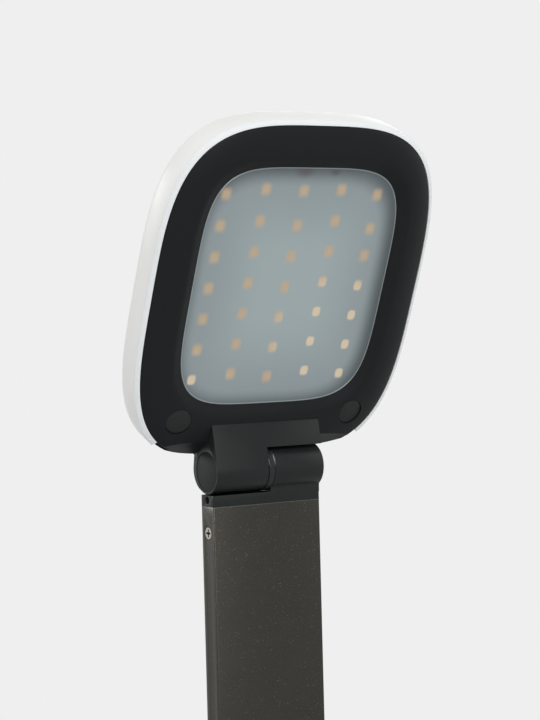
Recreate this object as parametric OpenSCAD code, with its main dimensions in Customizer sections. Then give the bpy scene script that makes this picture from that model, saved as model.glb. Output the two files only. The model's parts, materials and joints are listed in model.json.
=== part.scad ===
// Folding LED desk lamp: a squircle LED head and a flat arm, with a friction hinge
// at each end of the arm, on a weighted squircle base.
// Millimetres. The origin is on the table under the middle of the base, +Z is up,
// and the LEDs face -Y.

/* [Pose] */
// Forward lean of the head from the line of the arm, in degrees
head_lean = 23.4; // [-5:0.2:90]

/* [Head] */
// Width of the head over its white shell
head_w = 90.4; // [86:0.2:110]
// Height of the head over its white shell
head_h = 104.2; // [100:0.2:125]
// Squareness of the head's outline: 2 is an ellipse, higher is squarer
head_square = 3.5; // [3.2:0.1:4.5]
// Height of the head's lower edge above the hinge axis
head_foot = 0.3; // [0:0.1:3]
// Depth of the bezel's rim behind the hinge axis
head_set = 3.7; // [3.4:0.1:5]
// Thickness from the bezel's rim to the edge of the back
head_t = 9.8; // [9.6:0.1:14]
// Height of the dome on the back
head_dome = 1.5; // [0.5:0.1:4]
// Radius of the edge round the back
head_round = 2; // [1:0.1:3]
// Width of the white lip round the bezel, and of the side wall
lip_w = 1.4; // [1:0.1:2]
// Slope of the white lip from its inner to its outer edge
lip_drop = 0.8; // [0.4:0.1:1.2]
// Thickness of the back
back_wall = 2; // [1.4:0.1:2.2]

/* [Bezel and window] */
// Width of the window
window_w = 63.7; // [58:0.1:68]
// Height of the window
window_h = 71.6; // [66:0.1:76]
// Squareness of the window's outline
window_square = 4.5; // [3.5:0.1:6]
// Height of the middle of the window above the middle of the head
window_rise = 2.9; // [2:0.1:4]
// Width of the bevel round the window
bevel_w = 2.9; // [1.5:0.1:4]
// Depth of the window below the bezel's ridge
bevel_h = 1.75; // [1.2:0.05:2.5]
// Fall of the bezel from its ridge to its rim
rim_drop = 1.95; // [1:0.05:2.5]
// Thickness of the bezel at its rim
bezel_t = 1.8; // [1.4:0.1:2.2]
// Height of the chin's edge above the head's lower edge
chin_up = 7; // [5:0.1:9]
// Slope of the chin from the plane of the bezel, in degrees
chin_slope = 38; // [30:1:50]
// Thickness of the diffuser
diffuser_t = 1.8; // [1.2:0.1:2]
// Width of the diffuser hidden under the bezel
diffuser_lap = 2; // [1.5:0.1:3]
// Diameter of the rubber plugs over the bezel's screws
plug_d = 7.7; // [6:0.1:9]
// Distance of a plug from the side of the head
plug_in = 16.1; // [15:0.1:18]
// Height of a plug above the head's lower edge
plug_up = 15.2; // [14:0.1:17]
// Tilt of a plug, so that it is flush with the bezel, in degrees
plug_tilt = 12; // [0:1:20]

/* [LED board] */
// Columns of LEDs
led_cols = 5; // [3:1:5]
// Rows of LEDs
led_rows = 7; // [3:1:7]
// Distance between columns
led_pitch_x = 12.5; // [9:0.1:13]
// Distance between rows
led_pitch_y = 9.3; // [7:0.1:9.6]
// Rise of every second column
led_stagger = 1.4; // [0:0.1:3]
// Width of one LED package
led_w = 2.8; // [2:0.1:3.5]
// Height of one LED package
led_h = 3.5; // [2:0.1:4]
// Thickness of one LED package
led_t = 0.7; // [0.5:0.1:0.9]
// Gap between the LEDs and the diffuser
led_gap = 1.2; // [0.8:0.1:1.5]
// Thickness of the aluminium LED board
led_board_t = 1.2; // [1:0.1:1.4]

/* [Hinges] */
// Diameter of the hinge barrels
barrel_d = 12.8; // [12.4:0.1:15]
// Width of the steel spacer ring between two barrels
spacer_w = 1.8; // [1:0.1:3]
// Distance of the spacer ring from the middle of the hinge
spacer_off = 0.3; // [0:0.1:2]
// Diameter of the hollow hinge shaft
shaft_d = 5; // [4.4:0.1:5.4]
// Diameter of the shaft's bore, which the wires run through
shaft_bore = 3; // [2.6:0.1:3.4]
// Running clearance of the shaft in its barrel, on the radius
run_gap = 0.05; // [0.02:0.01:0.08]
// Inclination of the hinge leaf's front face to the bezel, in degrees
leaf_slope = 34.6; // [32:0.2:38]
// Height of the hinge leaf's upper edge above the axis
leaf_top = 14; // [13:0.1:14.6]

/* [Arm] */
// Length of the arm from axis to axis
arm_len = 300; // [200:1:360]
// Width of the arm and of both hinges
arm_w = 36; // [34:0.5:44]
// Thickness of the arm
arm_t = 7; // [6.6:0.1:8]
// Wall of the aluminium tube
arm_wall = 1.2; // [1:0.1:1.5]
// Height of the knuckle's shoulder between barrel and tube
shoulder_h = 3.3; // [2.6:0.1:6]
// Gap between a turning barrel and the shoulder
shoulder_gap = 0.3; // [0.2:0.05:0.6]
// Length of the knuckle's tongue inside the tube
tongue_len = 24; // [18:1:40]
// Distance of the side screws from the end of the tube
side_screw_in = 7.6; // [5:0.1:12]

/* [Base] */
// Width of the base
base_w = 120; // [112:1:150]
// Depth of the base
base_d = 150; // [146:1:180]
// Squareness of the base's outline
base_square = 4; // [3.7:0.1:5]
// Height of the base at its rim
base_h = 18; // [17:0.1:24]
// Rise of the top cover above its rim
base_crown = 1.6; // [0.8:0.1:3]
// Width of the white lip round the top cover
base_lip = 1.8; // [1.2:0.1:2.4]
// Radius of the base's lower edge
base_round = 1.4; // [0.8:0.1:1.6]
// Distance of the lower hinge axis from the back edge of the base
arm_in = 27; // [26:0.5:31]
// Height of the lower hinge axis above the top cover
axis_rise = 7.6; // [7.5:0.1:12]
// Height of the rubber feet below the bottom plate
foot_h = 1.6; // [1:0.1:3]
// Diameter of the rubber feet
foot_d = 13; // [8:0.5:14]
// Thickness of the bottom plate
plate_t = 2; // [1.6:0.1:2.4]
// Thickness of the steel weight
weight_t = 6; // [4:0.1:6]
// Diameter of the power button
button_d = 16; // [12:0.5:18]
// Height of the power button above the top cover
button_proud = 1.2; // [1.1:0.1:2]
// Travel of the power button
button_travel = 1; // [0.5:0.1:1]
// Distance of the power button from the front edge of the base
button_in = 27; // [25:0.5:31]

/* [Hidden] */

$fn = 48;
outline_points = 72;
seat_gap = 0.1;

// Length of the solids that only cut, longer than anything they go through
cutter = 40;

// Colours of the finishes
black_plastic = [0.14, 0.15, 0.16];
hinge_black = [0.19, 0.20, 0.20];
arm_paint = [0.25, 0.25, 0.23];
gloss_white = [0.93, 0.93, 0.93];
frosted = [0.62, 0.66, 0.66];
chip_yellow = [0.87, 0.76, 0.52];
steel = [0.72, 0.73, 0.75];
board_green = [0.10, 0.32, 0.20];
rubber_black = [0.16, 0.16, 0.17];
wire_black = [0.10, 0.10, 0.10];

// Levels of the head. Its parts lie on their back: y runs up the head from the hinge
// axis, and z is the height towards the LED side, negative behind the axis.
head_mid = head_foot + head_h / 2;
window_mid = head_mid + window_rise;
rim_z = -head_set;
ridge_z = rim_z + rim_drop;
window_z = ridge_z - bevel_h;
bezel_back_z = rim_z - bezel_t;
lip_outer_z = rim_z - lip_drop;
back_z = rim_z - head_t;
floor_z = back_z + back_wall;
diffuser_back_z = window_z - diffuser_t;
led_front_z = diffuser_back_z - led_gap;
board_front_z = led_front_z - led_t;
board_back_z = board_front_z - led_board_t;
inner_w = head_w - 2 * lip_w;
inner_h = head_h - 2 * lip_w;
diffuser_w = window_w + 2 * diffuser_lap;
diffuser_h = window_h + 2 * diffuser_lap;
board_side = 6.8;
board_end = 2.2;
board_w = window_w + 2 * board_side;
board_h = window_h + 2 * board_end;
board_screw_x = window_w / 2 + board_side - 2.4;
board_screw_y = 22;
frame_wall = 1.6;

// Plugs and the screws under them
plug_t = 1.2;
plug_x = head_w / 2 - plug_in;
plug_y = head_foot + plug_up;
plug_z = ridge_z - 0.48;
plug_turn = 38;
screw_head_r = 2.2;
screw_head_h = 1.2;
screw_seat_z = plug_z - plug_t - screw_head_h - 0.5;
boss_split_z = screw_seat_z - 1.6;

// Friction hinge, seen along its axis X with its middle at the origin
barrel_r = barrel_d / 2;
shaft_r = shaft_d / 2;
side_gap = 0.1;
barrel_edge = 0.3;
ring_edge = 0.1;
leaf_barrel_end = spacer_off - spacer_w / 2 - side_gap;
knuckle_barrel_end = spacer_off + spacer_w / 2 + side_gap;
cavity_r = barrel_r - 1.5;
cap_r = barrel_r - 0.6;
cap_t = 1.3;
cap_inset = 0.1;
cap_seat = arm_w / 2 - cap_inset - cap_t;
cavity_out = cap_seat - 0.8;
washer_t = 0.5;
washer_lift = 0.3;
washer_count = 3;
washer_r = cavity_r - 0.4;
nut_t = 2.4;
nut_af = (cavity_r - 0.5) * sqrt(3);
thread_r = shaft_r - 0.3;
shaft_out = cavity_out - 1.4;
nut_in = shaft_out - 0.5 - nut_t;
washer_pack = washer_count * (washer_t + washer_lift);
cavity_in = nut_in - washer_pack - 0.05;
shaft_flat = 0.6;
leaf_clear_r = barrel_r + 1.9;
leaf_width_gap = 0.15;
wire_r = 0.5;
wire_apart = 0.55;
split_gap = 0.1;
channel_x = 2 * wire_r + 0.44;
channel_y = 2 * (wire_r + wire_apart) + 0.2;
lead_x = shaft_out + wire_r + 0.25;

// Arm
tube_end = barrel_r + shoulder_gap + shoulder_h;
tongue_gap = 0.1;
tongue_w = arm_w - 2 * arm_wall - 2 * tongue_gap;
tongue_t = arm_t - 2 * arm_wall - 2 * tongue_gap;
arm_edge = 0.3;
fillet_r = 1;
side_screw_r = 1.9;
side_screw_len = 6;
duct_x = arm_w / 2 - side_screw_len - 1.8;

// Tongue of the hinge leaf behind the LED board
leaf_tongue_w = 24;
leaf_tongue_top = 31;
leaf_tongue_t = 2.4;
leaf_back_z = floor_z + seat_gap;
leaf_foot = 2;
leaf_screw_x = 8;
leaf_screw_low = 20;
leaf_screw_high = 27;

// Places and levels of the base
arm_back = base_d / 2 - arm_in;
button_front = base_d / 2 - button_in;
plate_z = foot_h;
weight_z = plate_z + plate_t;
weight_top = weight_z + weight_t;
cover_t = 2;
base_top = base_h + base_crown;
cover_under = base_top - cover_t;
cover_edge_t = 1.7;
shell_wall = 3.2;
lower_axis = base_top + axis_rise;
upper_axis = lower_axis + arm_len;
base_lip_drop = 0.8;
foot_sink = 0.6;
base_screw_r = 2.4;
base_shank_r = 1.2;
post_bite = 1.6;
foot_in = 20;
foot_x = base_w / 2 - foot_in;
foot_y = base_d / 2 - foot_in;
post_r = 4;
post_screw_len = plate_t - foot_sink + weight_t + post_bite;
weight_side = 10;
weight_end = 16;
weight_w = base_w - 2 * weight_side;
weight_d = base_d - 2 * weight_end;
block_depth = barrel_d;
block_gap = 1.2;
flange_rim = 6;
flange_w = arm_w + 2 * flange_rim;
flange_d = block_depth + 2 * flange_rim;
flange_t = 3.2;
block_screw_x = arm_w / 2 + 2.5;
block_screw_y = block_depth / 2 + 2.6;

// Power button and its switch
button_flange = 1.5;
button_flange_t = 1;
button_gap = 0.2;
button_top = base_top + button_proud;
flange_top = cover_under - seat_gap;
flange_under = flange_top - button_flange_t;
switch_h = 3;
switch_w = 6;
switch_top = flange_under - button_travel - 0.2;
control_top = switch_top - switch_h;
pcb_t = 1.6;
control_w = 40;
control_d = 24;
control_screw_x = control_w / 2 - 3;
control_screw_y = control_d / 2 - 3;
plunger_r = 1.7;
plunger_gap = 0.08;

// Inlet at the back of the base: a USB-C socket on its own small board
socket_w = 9;
socket_h = 3.3;
socket_len = 7.4;
socket_wall = 0.35;
socket_face = base_d / 2 - 0.5;
power_w = 26;
power_d = 11;
power_z = plate_z + plate_t + 1.6;
power_front = base_d / 2 - shell_wall - 0.4 - power_d;
socket_z = power_z + pcb_t + socket_h / 2;
cutout_gap = 0.3;

// Closed outline of width w and height h round the origin, squarer as p grows
function squircle(w, h, p) = [
    for (i = [0:outline_points - 1])
        let (t = 360 * i / outline_points, c = cos(t), s = sin(t))
            [w / 2 * sign(c) * pow(abs(c), 2 / p), h / 2 * sign(s) * pow(abs(s), 2 / p)]
];

// The same outline as a ring of points at height z, with its middle at y
function ring(w, h, p, z, y = 0) = [for (q = squircle(w, h, p)) [q[0], q[1] + y, z]];

function mix(a, b, f) = a + (b - a) * f;

// Rectangle with small round corners
function slab(w, t, r) = [
    for (k = [0:3], a = [0:30:90])
        let (sx = (k == 0 || k == 3) ? 1 : -1, sy = k < 2 ? 1 : -1)
            [sx * (w / 2 - r) + r * cos(90 * k + a), sy * (t / 2 - r) + r * sin(90 * k + a)]
];

// Triangles between ring a and the next ring b, each of n points
function strip(a, b, n) = [
    for (i = [0:n - 1])
        let (j = (i + 1) % n)
            each [[a + i, b + i, b + j], [a + i, b + j, a + j]]
];

// Closed solid through rings from the bottom up
module loft(rings) {
    n = len(rings[0]);
    last = len(rings) - 1;
    bottom = [for (i = [0:n - 1]) i];
    top = [for (i = [n - 1:-1:0]) last * n + i];
    sides = [for (k = [0:last - 1]) each strip(k * n, (k + 1) * n, n)];
    polyhedron(points = [for (r = rings) each r], faces = concat([bottom], sides, [top]));
}

// Endless solid through rings that go up the outside and down the inside
module band(rings) {
    n = len(rings[0]);
    m = len(rings);
    sides = [for (k = [0:m - 1]) each strip(k * n, ((k + 1) % m) * n, n)];
    polyhedron(points = [for (r = rings) each r], faces = sides);
}

function unit(v) = v / norm(v);

// Direction of a path at its point i
function heading(path, i) =
    unit(path[min(i + 1, len(path) - 1)] - path[max(i - 1, 0)]);

// Side directions along a path, each square to it and turned as little as possible
function sides_of(path, start) = [
    for (i = 0, v = start; i < len(path);
         v = i + 1 < len(path) ? v - (v * heading(path, i + 1)) * heading(path, i + 1) : v,
         i = i + 1)
        unit(v - (v * heading(path, i)) * heading(path, i))
];

// Smooth path through hand-set points, each stretch in three steps
function smooth(pts) = [
    for (i = [0:len(pts) - 2], f = [0:1/3:0.9])
        let (b = pts[i], c = pts[i + 1], span = norm(c - b),
             m = span * heading(pts, i), n = span * heading(pts, i + 1))
            b + f * m + f * f * (3 * (c - b) - 2 * m - n) + f * f * f * (m + n - 2 * (c - b))
];

// Twin wire: two insulated wires side by side along one path
module twin_wire(pts, start) {
    path = concat(smooth(pts), [pts[len(pts) - 1]]);
    side = sides_of(path, start);
    for (s = [-1, 1])
        loft([
            for (i = [0:len(path) - 1])
                let (u = side[i], v = cross(heading(path, i), u))
                    [for (a = [0:60:300]) path[i] + s * wire_apart * u + wire_r * (cos(a) * u + sin(a) * v)]
        ]);
}

// Profile given in Y and Z, extruded along X from x0 to x1
module along_x(x0, x1) {
    translate([x0, 0, 0]) rotate([90, 0, 90]) linear_extrude(x1 - x0) children();
}

// Cylinder along X from x0 to x1
module rod_x(r, x0, x1) {
    translate([x0, 0, 0]) rotate([0, 90, 0]) cylinder(r = r, h = x1 - x0);
}

// Hinge barrel along X, its end at x0 next to the spacer ring and that edge chamfered
module barrel(x0, x1) {
    rod_x(barrel_r, x0 + barrel_edge, x1);
    translate([x0, 0, 0]) rotate([0, 90, 0])
        cylinder(r1 = barrel_r - barrel_edge, r2 = barrel_r, h = barrel_edge);
}

module place_head() {
    translate([0, arm_back, upper_axis]) rotate([head_lean + 90, 0, 0]) children();
}

module place_upper() {
    translate([0, arm_back, upper_axis]) children();
}

// The lower hinge is the upper one turned over, so its base side points down
module place_lower() {
    translate([0, arm_back, lower_axis]) rotate([0, 180, 0]) children();
}

// Head

module head_outline(w, h) {
    translate([0, head_mid, 0]) polygon(squircle(w, h, head_square));
}

module window_outline(w, h) {
    translate([0, window_mid, 0]) polygon(squircle(w, h, window_square));
}

// Everything above the sloped plane of the chin
module chin_plane() {
    translate([0, head_foot + chin_up, rim_z])
        rotate([chin_slope, 0, 0])
            translate([-head_w, -cutter, 0]) cube([2 * head_w, 1.5 * cutter, cutter]);
}

// Opening of the bezel and shell that the hinge leaf fills
module leaf_opening() {
    half = arm_w / 2 + leaf_width_gap;
    translate([-half, -cutter, floor_z]) cube([2 * half, cutter + leaf_top + seat_gap, cutter]);
}

module at_plugs() {
    for (s = [-1, 1])
        translate([s * plug_x, plug_y, 0]) children();
}

// Plug direction: square to the bezel, which falls outwards and down at the corners
module at_plug_faces() {
    for (s = [-1, 1])
        translate([s * plug_x, plug_y, plug_z])
            rotate([0, 0, s * plug_turn]) rotate([plug_tilt, 0, 0]) children();
}

module head_rear_cover() {
    edge_w = head_w - 2 * head_round;
    edge_h = head_h - 2 * head_round;
    color(gloss_white) place_head() difference() {
        union() {
            difference() {
                loft(concat(
                    [for (s = [0.2, 0.45, 0.65, 0.82, 0.94])
                        let (z = back_z - head_dome * (1 - s * s))
                            ring(edge_w * s, edge_h * s, head_square, z, head_mid)],
                    [for (a = [0:22.5:90])
                        let (in = head_round * (1 - sin(a)))
                            ring(head_w - 2 * in, head_h - 2 * in, head_square,
                                 back_z + head_round * (1 - cos(a)), head_mid)],
                    [ring(head_w, head_h, head_square, lip_outer_z, head_mid),
                     ring(inner_w + 0.2, inner_h + 0.2, head_square, rim_z, head_mid)]
                ));
                translate([0, 0, floor_z]) linear_extrude(cutter) head_outline(inner_w, inner_h);
            }
            at_plugs() translate([0, 0, floor_z - 0.5])
                cylinder(r = 2.9, h = boss_split_z - floor_z + 0.5);
            at_board_screws() translate([0, 0, floor_z - 0.5])
                cylinder(r = 2.6, h = board_back_z - floor_z + 0.5);
        }
        chin_plane();
        leaf_opening();
        at_plugs() translate([0, 0, floor_z]) cylinder(r = 1, h = cutter);
        at_board_screws() translate([0, 0, floor_z]) cylinder(r = 0.8, h = cutter);
        at_leaf_screws() translate([0, 0, floor_z - 1.4]) cylinder(r = 1, h = 5);
    }
}

module head_bezel() {
    rim_w = inner_w - 2 * seat_gap;
    rim_h = inner_h - 2 * seat_gap;
    ridge_w = window_w + 2 * bevel_w;
    ridge_h = window_h + 2 * bevel_w;
    pocket = 2 * seat_gap;
    color(black_plastic) place_head() difference() {
        union() {
            band(concat(
                [ring(rim_w, rim_h, head_square, bezel_back_z, head_mid)],
                [for (f = [1, 0.8, 0.6, 0.35, 0])
                    ring(mix(ridge_w, rim_w, f), mix(ridge_h, rim_h, f),
                         mix(window_square, head_square, f), ridge_z - rim_drop * f * f,
                         mix(window_mid, head_mid, f))],
                [ring(window_w, window_h, window_square, window_z, window_mid),
                 ring(diffuser_w + pocket, diffuser_h + pocket, window_square, window_z, window_mid),
                 ring(diffuser_w + pocket, diffuser_h + pocket, window_square, bezel_back_z, window_mid)]
            ));
            chin_block(rim_w - 2 * seat_gap, rim_h - 2 * seat_gap);
            at_plugs() translate([0, 0, boss_split_z])
                cylinder(r = 5, h = bezel_back_z - boss_split_z + 0.5);
        }
        chin_plane();
        leaf_opening();
        at_plug_faces() translate([0, 0, -plug_t - 0.1]) cylinder(d = plug_d + 0.2, h = 10);
        at_plugs() translate([0, 0, screw_seat_z]) cylinder(r = screw_head_r + 0.2, h = 5);
        at_plugs() translate([0, 0, boss_split_z - 1]) cylinder(r = 1.35, h = 5);
    }
}

// Solid under the bezel's rim that carries the sloped chin
module chin_block(w, h) {
    depth = 5.6;
    translate([0, 0, rim_z - depth]) linear_extrude(depth - bezel_t + 0.5) intersection() {
        head_outline(w, h);
        translate([-head_w / 2, head_foot - 1]) square([head_w, chin_up + 2.2]);
    }
}

module diffuser() {
    color(frosted) place_head()
        translate([0, 0, diffuser_back_z]) linear_extrude(diffuser_t)
            window_outline(diffuser_w, diffuser_h);
}

module reflector_frame() {
    color(gloss_white) place_head()
        translate([0, 0, board_front_z]) linear_extrude(led_gap + led_t) difference() {
            window_outline(diffuser_w, diffuser_h);
            window_outline(diffuser_w - 2 * frame_wall, diffuser_h - 2 * frame_wall);
        }
}

module at_board_screws() {
    for (sx = [-1, 1], sy = [-1, 1])
        translate([sx * board_screw_x, window_mid + sy * board_screw_y, 0]) children();
}

// Hole in the LED board that the wires come through, under its two solder joints
lead_hole_x = 1.5;
lead_hole_y = window_mid + window_h / 2 - 1.4;
lead_hole_r = 1.4;

module led_board() {
    color("white") place_head() difference() {
        translate([0, 0, board_back_z]) linear_extrude(led_board_t) window_outline(board_w, board_h);
        at_board_screws() translate([0, 0, board_back_z - 1]) cylinder(r = 1.1, h = 5);
        translate([lead_hole_x, lead_hole_y, board_back_z - 1]) cylinder(r = lead_hole_r, h = 5);
    }
}

// Rise of one LED off the regular grid: two of them are set by hand a little off it
function led_shift(col, row) =
    (col == 2 && row == led_rows - 1) ? 1 : (col == 4 && row == led_rows - 2) ? -1 : 0;

module leds() {
    low = window_mid - (led_rows - 1) / 2 * led_pitch_y - led_stagger / 2;
    color(chip_yellow) place_head()
        for (col = [0:led_cols - 1], row = [0:led_rows - 1])
            translate([(col - (led_cols - 1) / 2) * led_pitch_x,
                       low + row * led_pitch_y + (col % 2) * led_stagger + led_shift(col, row),
                       board_front_z])
                translate([-led_w / 2, -led_h / 2, 0]) cube([led_w, led_h, led_t]);
}

// Screw with a pan head, its seat at z = 0 and its shank going down
module pan_screw(head_r, head_h, shank_r, len) {
    cylinder(r = head_r, h = head_h);
    translate([0, 0, -len]) cylinder(r = shank_r, h = len + 0.2);
}

// Screw with a countersunk head, its top at z = 0 and its shank going down
module flat_screw(head_r, shank_r, len) {
    sink = head_r - shank_r;
    translate([0, 0, -sink]) cylinder(r1 = shank_r, r2 = head_r, h = sink);
    translate([0, 0, -len]) cylinder(r = shank_r, h = len - sink / 2);
}

module led_board_screws() {
    color(steel) place_head()
        at_board_screws() translate([0, 0, board_front_z]) pan_screw(1.8, 0.9, 0.78, 3.6);
}

module head_screws() {
    color(steel) place_head()
        at_plugs() translate([0, 0, screw_seat_z])
            pan_screw(screw_head_r, screw_head_h, 0.98, screw_seat_z - floor_z - 0.6);
}

module screw_plugs() {
    color(rubber_black) place_head()
        at_plug_faces() translate([0, 0, -plug_t]) cylinder(d = plug_d, h = plug_t);
}

// Bore, washer chamber and cap seat of a barrel on the -X side, which turns on the shaft
module running_barrel_cuts() {
    rod_x(shaft_r + run_gap, -cavity_in - 1, leaf_barrel_end + 1);
    rod_x(cavity_r, -cavity_out, -cavity_in);
    rod_x(cavity_r - 0.8, -cap_seat - 0.1, -cavity_out + 0.1);
    rod_x(cap_r + 0.04, -arm_w / 2 - 1, -cap_seat);
}

module at_leaf_screws() {
    for (s = [-1, 1], y = [leaf_screw_low, leaf_screw_high])
        translate([s * leaf_screw_x, y, 0]) children();
}

// Level of the wires' channel in the leaf, behind the bezel and the LED board
leaf_channel_z = board_back_z;

module hinge_leaf() {
    front = barrel_r * [sin(leaf_slope), cos(leaf_slope)];
    top_z = (leaf_top * sin(leaf_slope) - barrel_r) / -cos(leaf_slope);
    color(hinge_black) place_head() difference() {
        union() {
            along_x(-arm_w / 2, arm_w / 2) polygon([
                front, [leaf_top, top_z], [leaf_top, leaf_back_z], [leaf_foot, leaf_back_z], [0, 0]
            ]);
            mirror([1, 0, 0]) barrel(-leaf_barrel_end, arm_w / 2);
            translate([-leaf_tongue_w / 2, leaf_foot + 4, leaf_back_z])
                cube([leaf_tongue_w, leaf_tongue_top - leaf_foot - 4, leaf_tongue_t]);
        }
        rod_x(leaf_clear_r, leaf_barrel_end, arm_w);
        running_barrel_cuts();
        translate([-lead_x - channel_x / 2, 0, leaf_channel_z - channel_y / 2 - 0.4])
            cube([channel_x, leaf_top + 1, channel_y + 0.4]);
        translate([-lead_x - channel_x / 2, 0, leaf_channel_z])
            cube([channel_x, barrel_r + 0.6, -leaf_channel_z]);
        at_leaf_screws() translate([0, 0, leaf_back_z - 1]) cylinder(r = 1.35, h = 9);
        at_leaf_screws() translate([0, 0, leaf_back_z + leaf_tongue_t - 1])
            cylinder(r1 = 1.3, r2 = 2.35, h = 1.05);
    }
}

module leaf_screws() {
    color(steel) place_head()
        at_leaf_screws() translate([0, 0, leaf_back_z + leaf_tongue_t]) flat_screw(2.2, 1, 3.6);
}

module barrel_cap() {
    rod_x(cap_r, cap_seat, cap_seat + cap_t);
}

module leaf_end_cap() {
    color(hinge_black) place_head() mirror([1, 0, 0]) barrel_cap();
}

module head_wires() {
    up_x = -leaf_tongue_w / 2 - 2.2;
    behind = (floor_z + board_back_z) / 2;
    color(wire_black) place_head() twin_wire([
        [-shaft_out - split_gap, 0, 0],
        [-shaft_out - 0.4, 0.05, -0.05],
        [0.1 - lead_x, 0.4, -0.4],
        [-lead_x, 1.3, -1.3],
        [-lead_x, 3.2, -4.6],
        [-lead_x, 5.2, leaf_channel_z + 0.8],
        [-lead_x, 7.5, leaf_channel_z],
        [-lead_x, leaf_top - 1, leaf_channel_z],
        [up_x, leaf_top + 3.8, behind + 0.1],
        [up_x, leaf_top + 9, behind],
        [up_x, window_mid, behind],
        [lead_hole_x - 5, lead_hole_y - 10, behind],
        [lead_hole_x, lead_hole_y - 2.4, behind],
        [lead_hole_x, lead_hole_y, board_back_z],
        [lead_hole_x, lead_hole_y, board_front_z + 0.3]
    ], [0, 1, 1]);
}

// Friction hinge hardware, in the place of the upper hinge

module hinge_shaft() {
    difference() {
        union() {
            rod_x(shaft_r, -nut_in + 0.2, shaft_out);
            rod_x(thread_r, -shaft_out, -nut_in + 0.3);
        }
        rod_x(shaft_bore / 2, -arm_w, arm_w);
        translate([knuckle_barrel_end, -shaft_r, shaft_r - shaft_flat]) cube([arm_w, shaft_d, 2]);
    }
}

// The same flat inside the knuckle's bore, which stops the shaft from turning
module shaft_seat() {
    difference() {
        rod_x(shaft_r + 0.02, knuckle_barrel_end - 1, cavity_out);
        translate([knuckle_barrel_end - 2, -shaft_r - 1, shaft_r - shaft_flat + 0.02])
            cube([cavity_out, shaft_d + 2, 2]);
    }
}

module spacer_ring() {
    half = spacer_w / 2;
    translate([spacer_off, 0, 0]) rotate([0, 90, 0]) rotate_extrude() polygon([
        [shaft_r + 0.03, -half], [barrel_r - ring_edge, -half], [barrel_r, ring_edge - half],
        [barrel_r, half - ring_edge], [barrel_r - ring_edge, half], [shaft_r + 0.03, half]
    ]);
}

// Cone of one disc spring, its inner edge raised by lift
module disc_spring(lift) {
    rotate([0, 90, 0]) rotate_extrude() polygon([
        [shaft_r + 0.1, lift], [washer_r, 0], [washer_r, washer_t], [shaft_r + 0.1, washer_t + lift]
    ]);
}

module spring_washers() {
    pitch = washer_t + washer_lift;
    for (i = [0:washer_count - 1])
        translate([-cavity_in - 0.03 - i * pitch, 0, 0]) mirror([1, 0, 0]) disc_spring(washer_lift);
}

module lock_nut() {
    translate([-nut_in - nut_t, 0, 0]) rotate([0, 90, 0]) difference() {
        cylinder(d = nut_af / cos(30), h = nut_t, $fn = 6);
        translate([0, 0, -1]) cylinder(r = thread_r + 0.02, h = nut_t + 2);
    }
}

module upper_shaft() { color(steel) place_upper() hinge_shaft(); }
module upper_spacer_ring() { color(steel) place_upper() spacer_ring(); }
module upper_spring_washers() { color(steel) place_upper() spring_washers(); }
module upper_lock_nut() { color(steel) place_upper() lock_nut(); }
module lower_shaft() { color(steel) place_lower() hinge_shaft(); }
module lower_spacer_ring() { color(steel) place_lower() spacer_ring(); }
module lower_spring_washers() { color(steel) place_lower() spring_washers(); }
module lower_lock_nut() { color(steel) place_lower() lock_nut(); }

// Arm

// Cap with half a hinge barrel and a tongue for the tube, as it sits at the top of the arm
module knuckle() {
    shoulder_top = -barrel_r - shoulder_gap;
    neck_y = arm_t / 2;
    fillet_y = neck_y + fillet_r;
    fillet_z = -sqrt(pow(barrel_r + fillet_r, 2) - pow(fillet_y, 2));
    touch = barrel_r / (barrel_r + fillet_r);
    difference() {
        union() {
            translate([0, 0, -tube_end]) linear_extrude(shoulder_h) polygon(slab(arm_w, arm_t, arm_edge));
            translate([-tongue_w / 2, -tongue_t / 2, -tube_end - tongue_len])
                cube([tongue_w, tongue_t, tongue_len + 0.5]);
            barrel(knuckle_barrel_end, arm_w / 2);
            difference() {
                along_x(knuckle_barrel_end, arm_w / 2) polygon([
                    [-neck_y, shoulder_top - 1], [neck_y, shoulder_top - 1], [neck_y, fillet_z],
                    [fillet_y * touch, fillet_z * touch], [0, 0], [-fillet_y * touch, fillet_z * touch],
                    [-neck_y, fillet_z]
                ]);
                for (s = [-1, 1])
                    translate([0, s * fillet_y, fillet_z]) rod_x(fillet_r, 0, arm_w);
            }
        }
        shaft_seat();
        rod_x(cavity_r, cavity_out - 2.8, cavity_out);
        rod_x(cavity_r - 0.8, cavity_out - 0.1, cap_seat + 0.1);
        rod_x(cap_r + 0.04, cap_seat, arm_w);
        wire_slot(lead_x - channel_x / 2, lead_x + channel_x / 2, -tube_end - 2, 0);
        wire_slot(duct_x - channel_x, lead_x + channel_x / 2, -tube_end - 4.5, 0.2 - tube_end);
        wire_slot(duct_x - channel_x, duct_x + channel_x, -tube_end - tongue_len - 1, -tube_end - 2);
        for (s = [-1, 1])
            translate([s * (tongue_w / 2 + 0.1), 0, -tube_end - side_screw_in])
                rotate([0, -s * 90, 0]) cylinder(r = 0.92, h = side_screw_len - 1);
        translate([-arm_w / 2 - 0.1, 0, -tube_end + shoulder_h - 1.4])
            rotate([0, 90, 0]) cylinder(r = 1.1, h = 1.1);
    }
}

// Slot for the twin wire from x0 to x1 and from z0 up to z1
module wire_slot(x0, x1, z0, z1) {
    translate([x0, -channel_y / 2, z0]) cube([x1 - x0, channel_y, z1 - z0]);
}

module side_screws() {
    for (s = [-1, 1])
        translate([s * (arm_w / 2 - 0.05), 0, -tube_end - side_screw_in])
            rotate([0, s * 90, 0]) flat_screw(side_screw_r, 0.9, side_screw_len);
}

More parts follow.
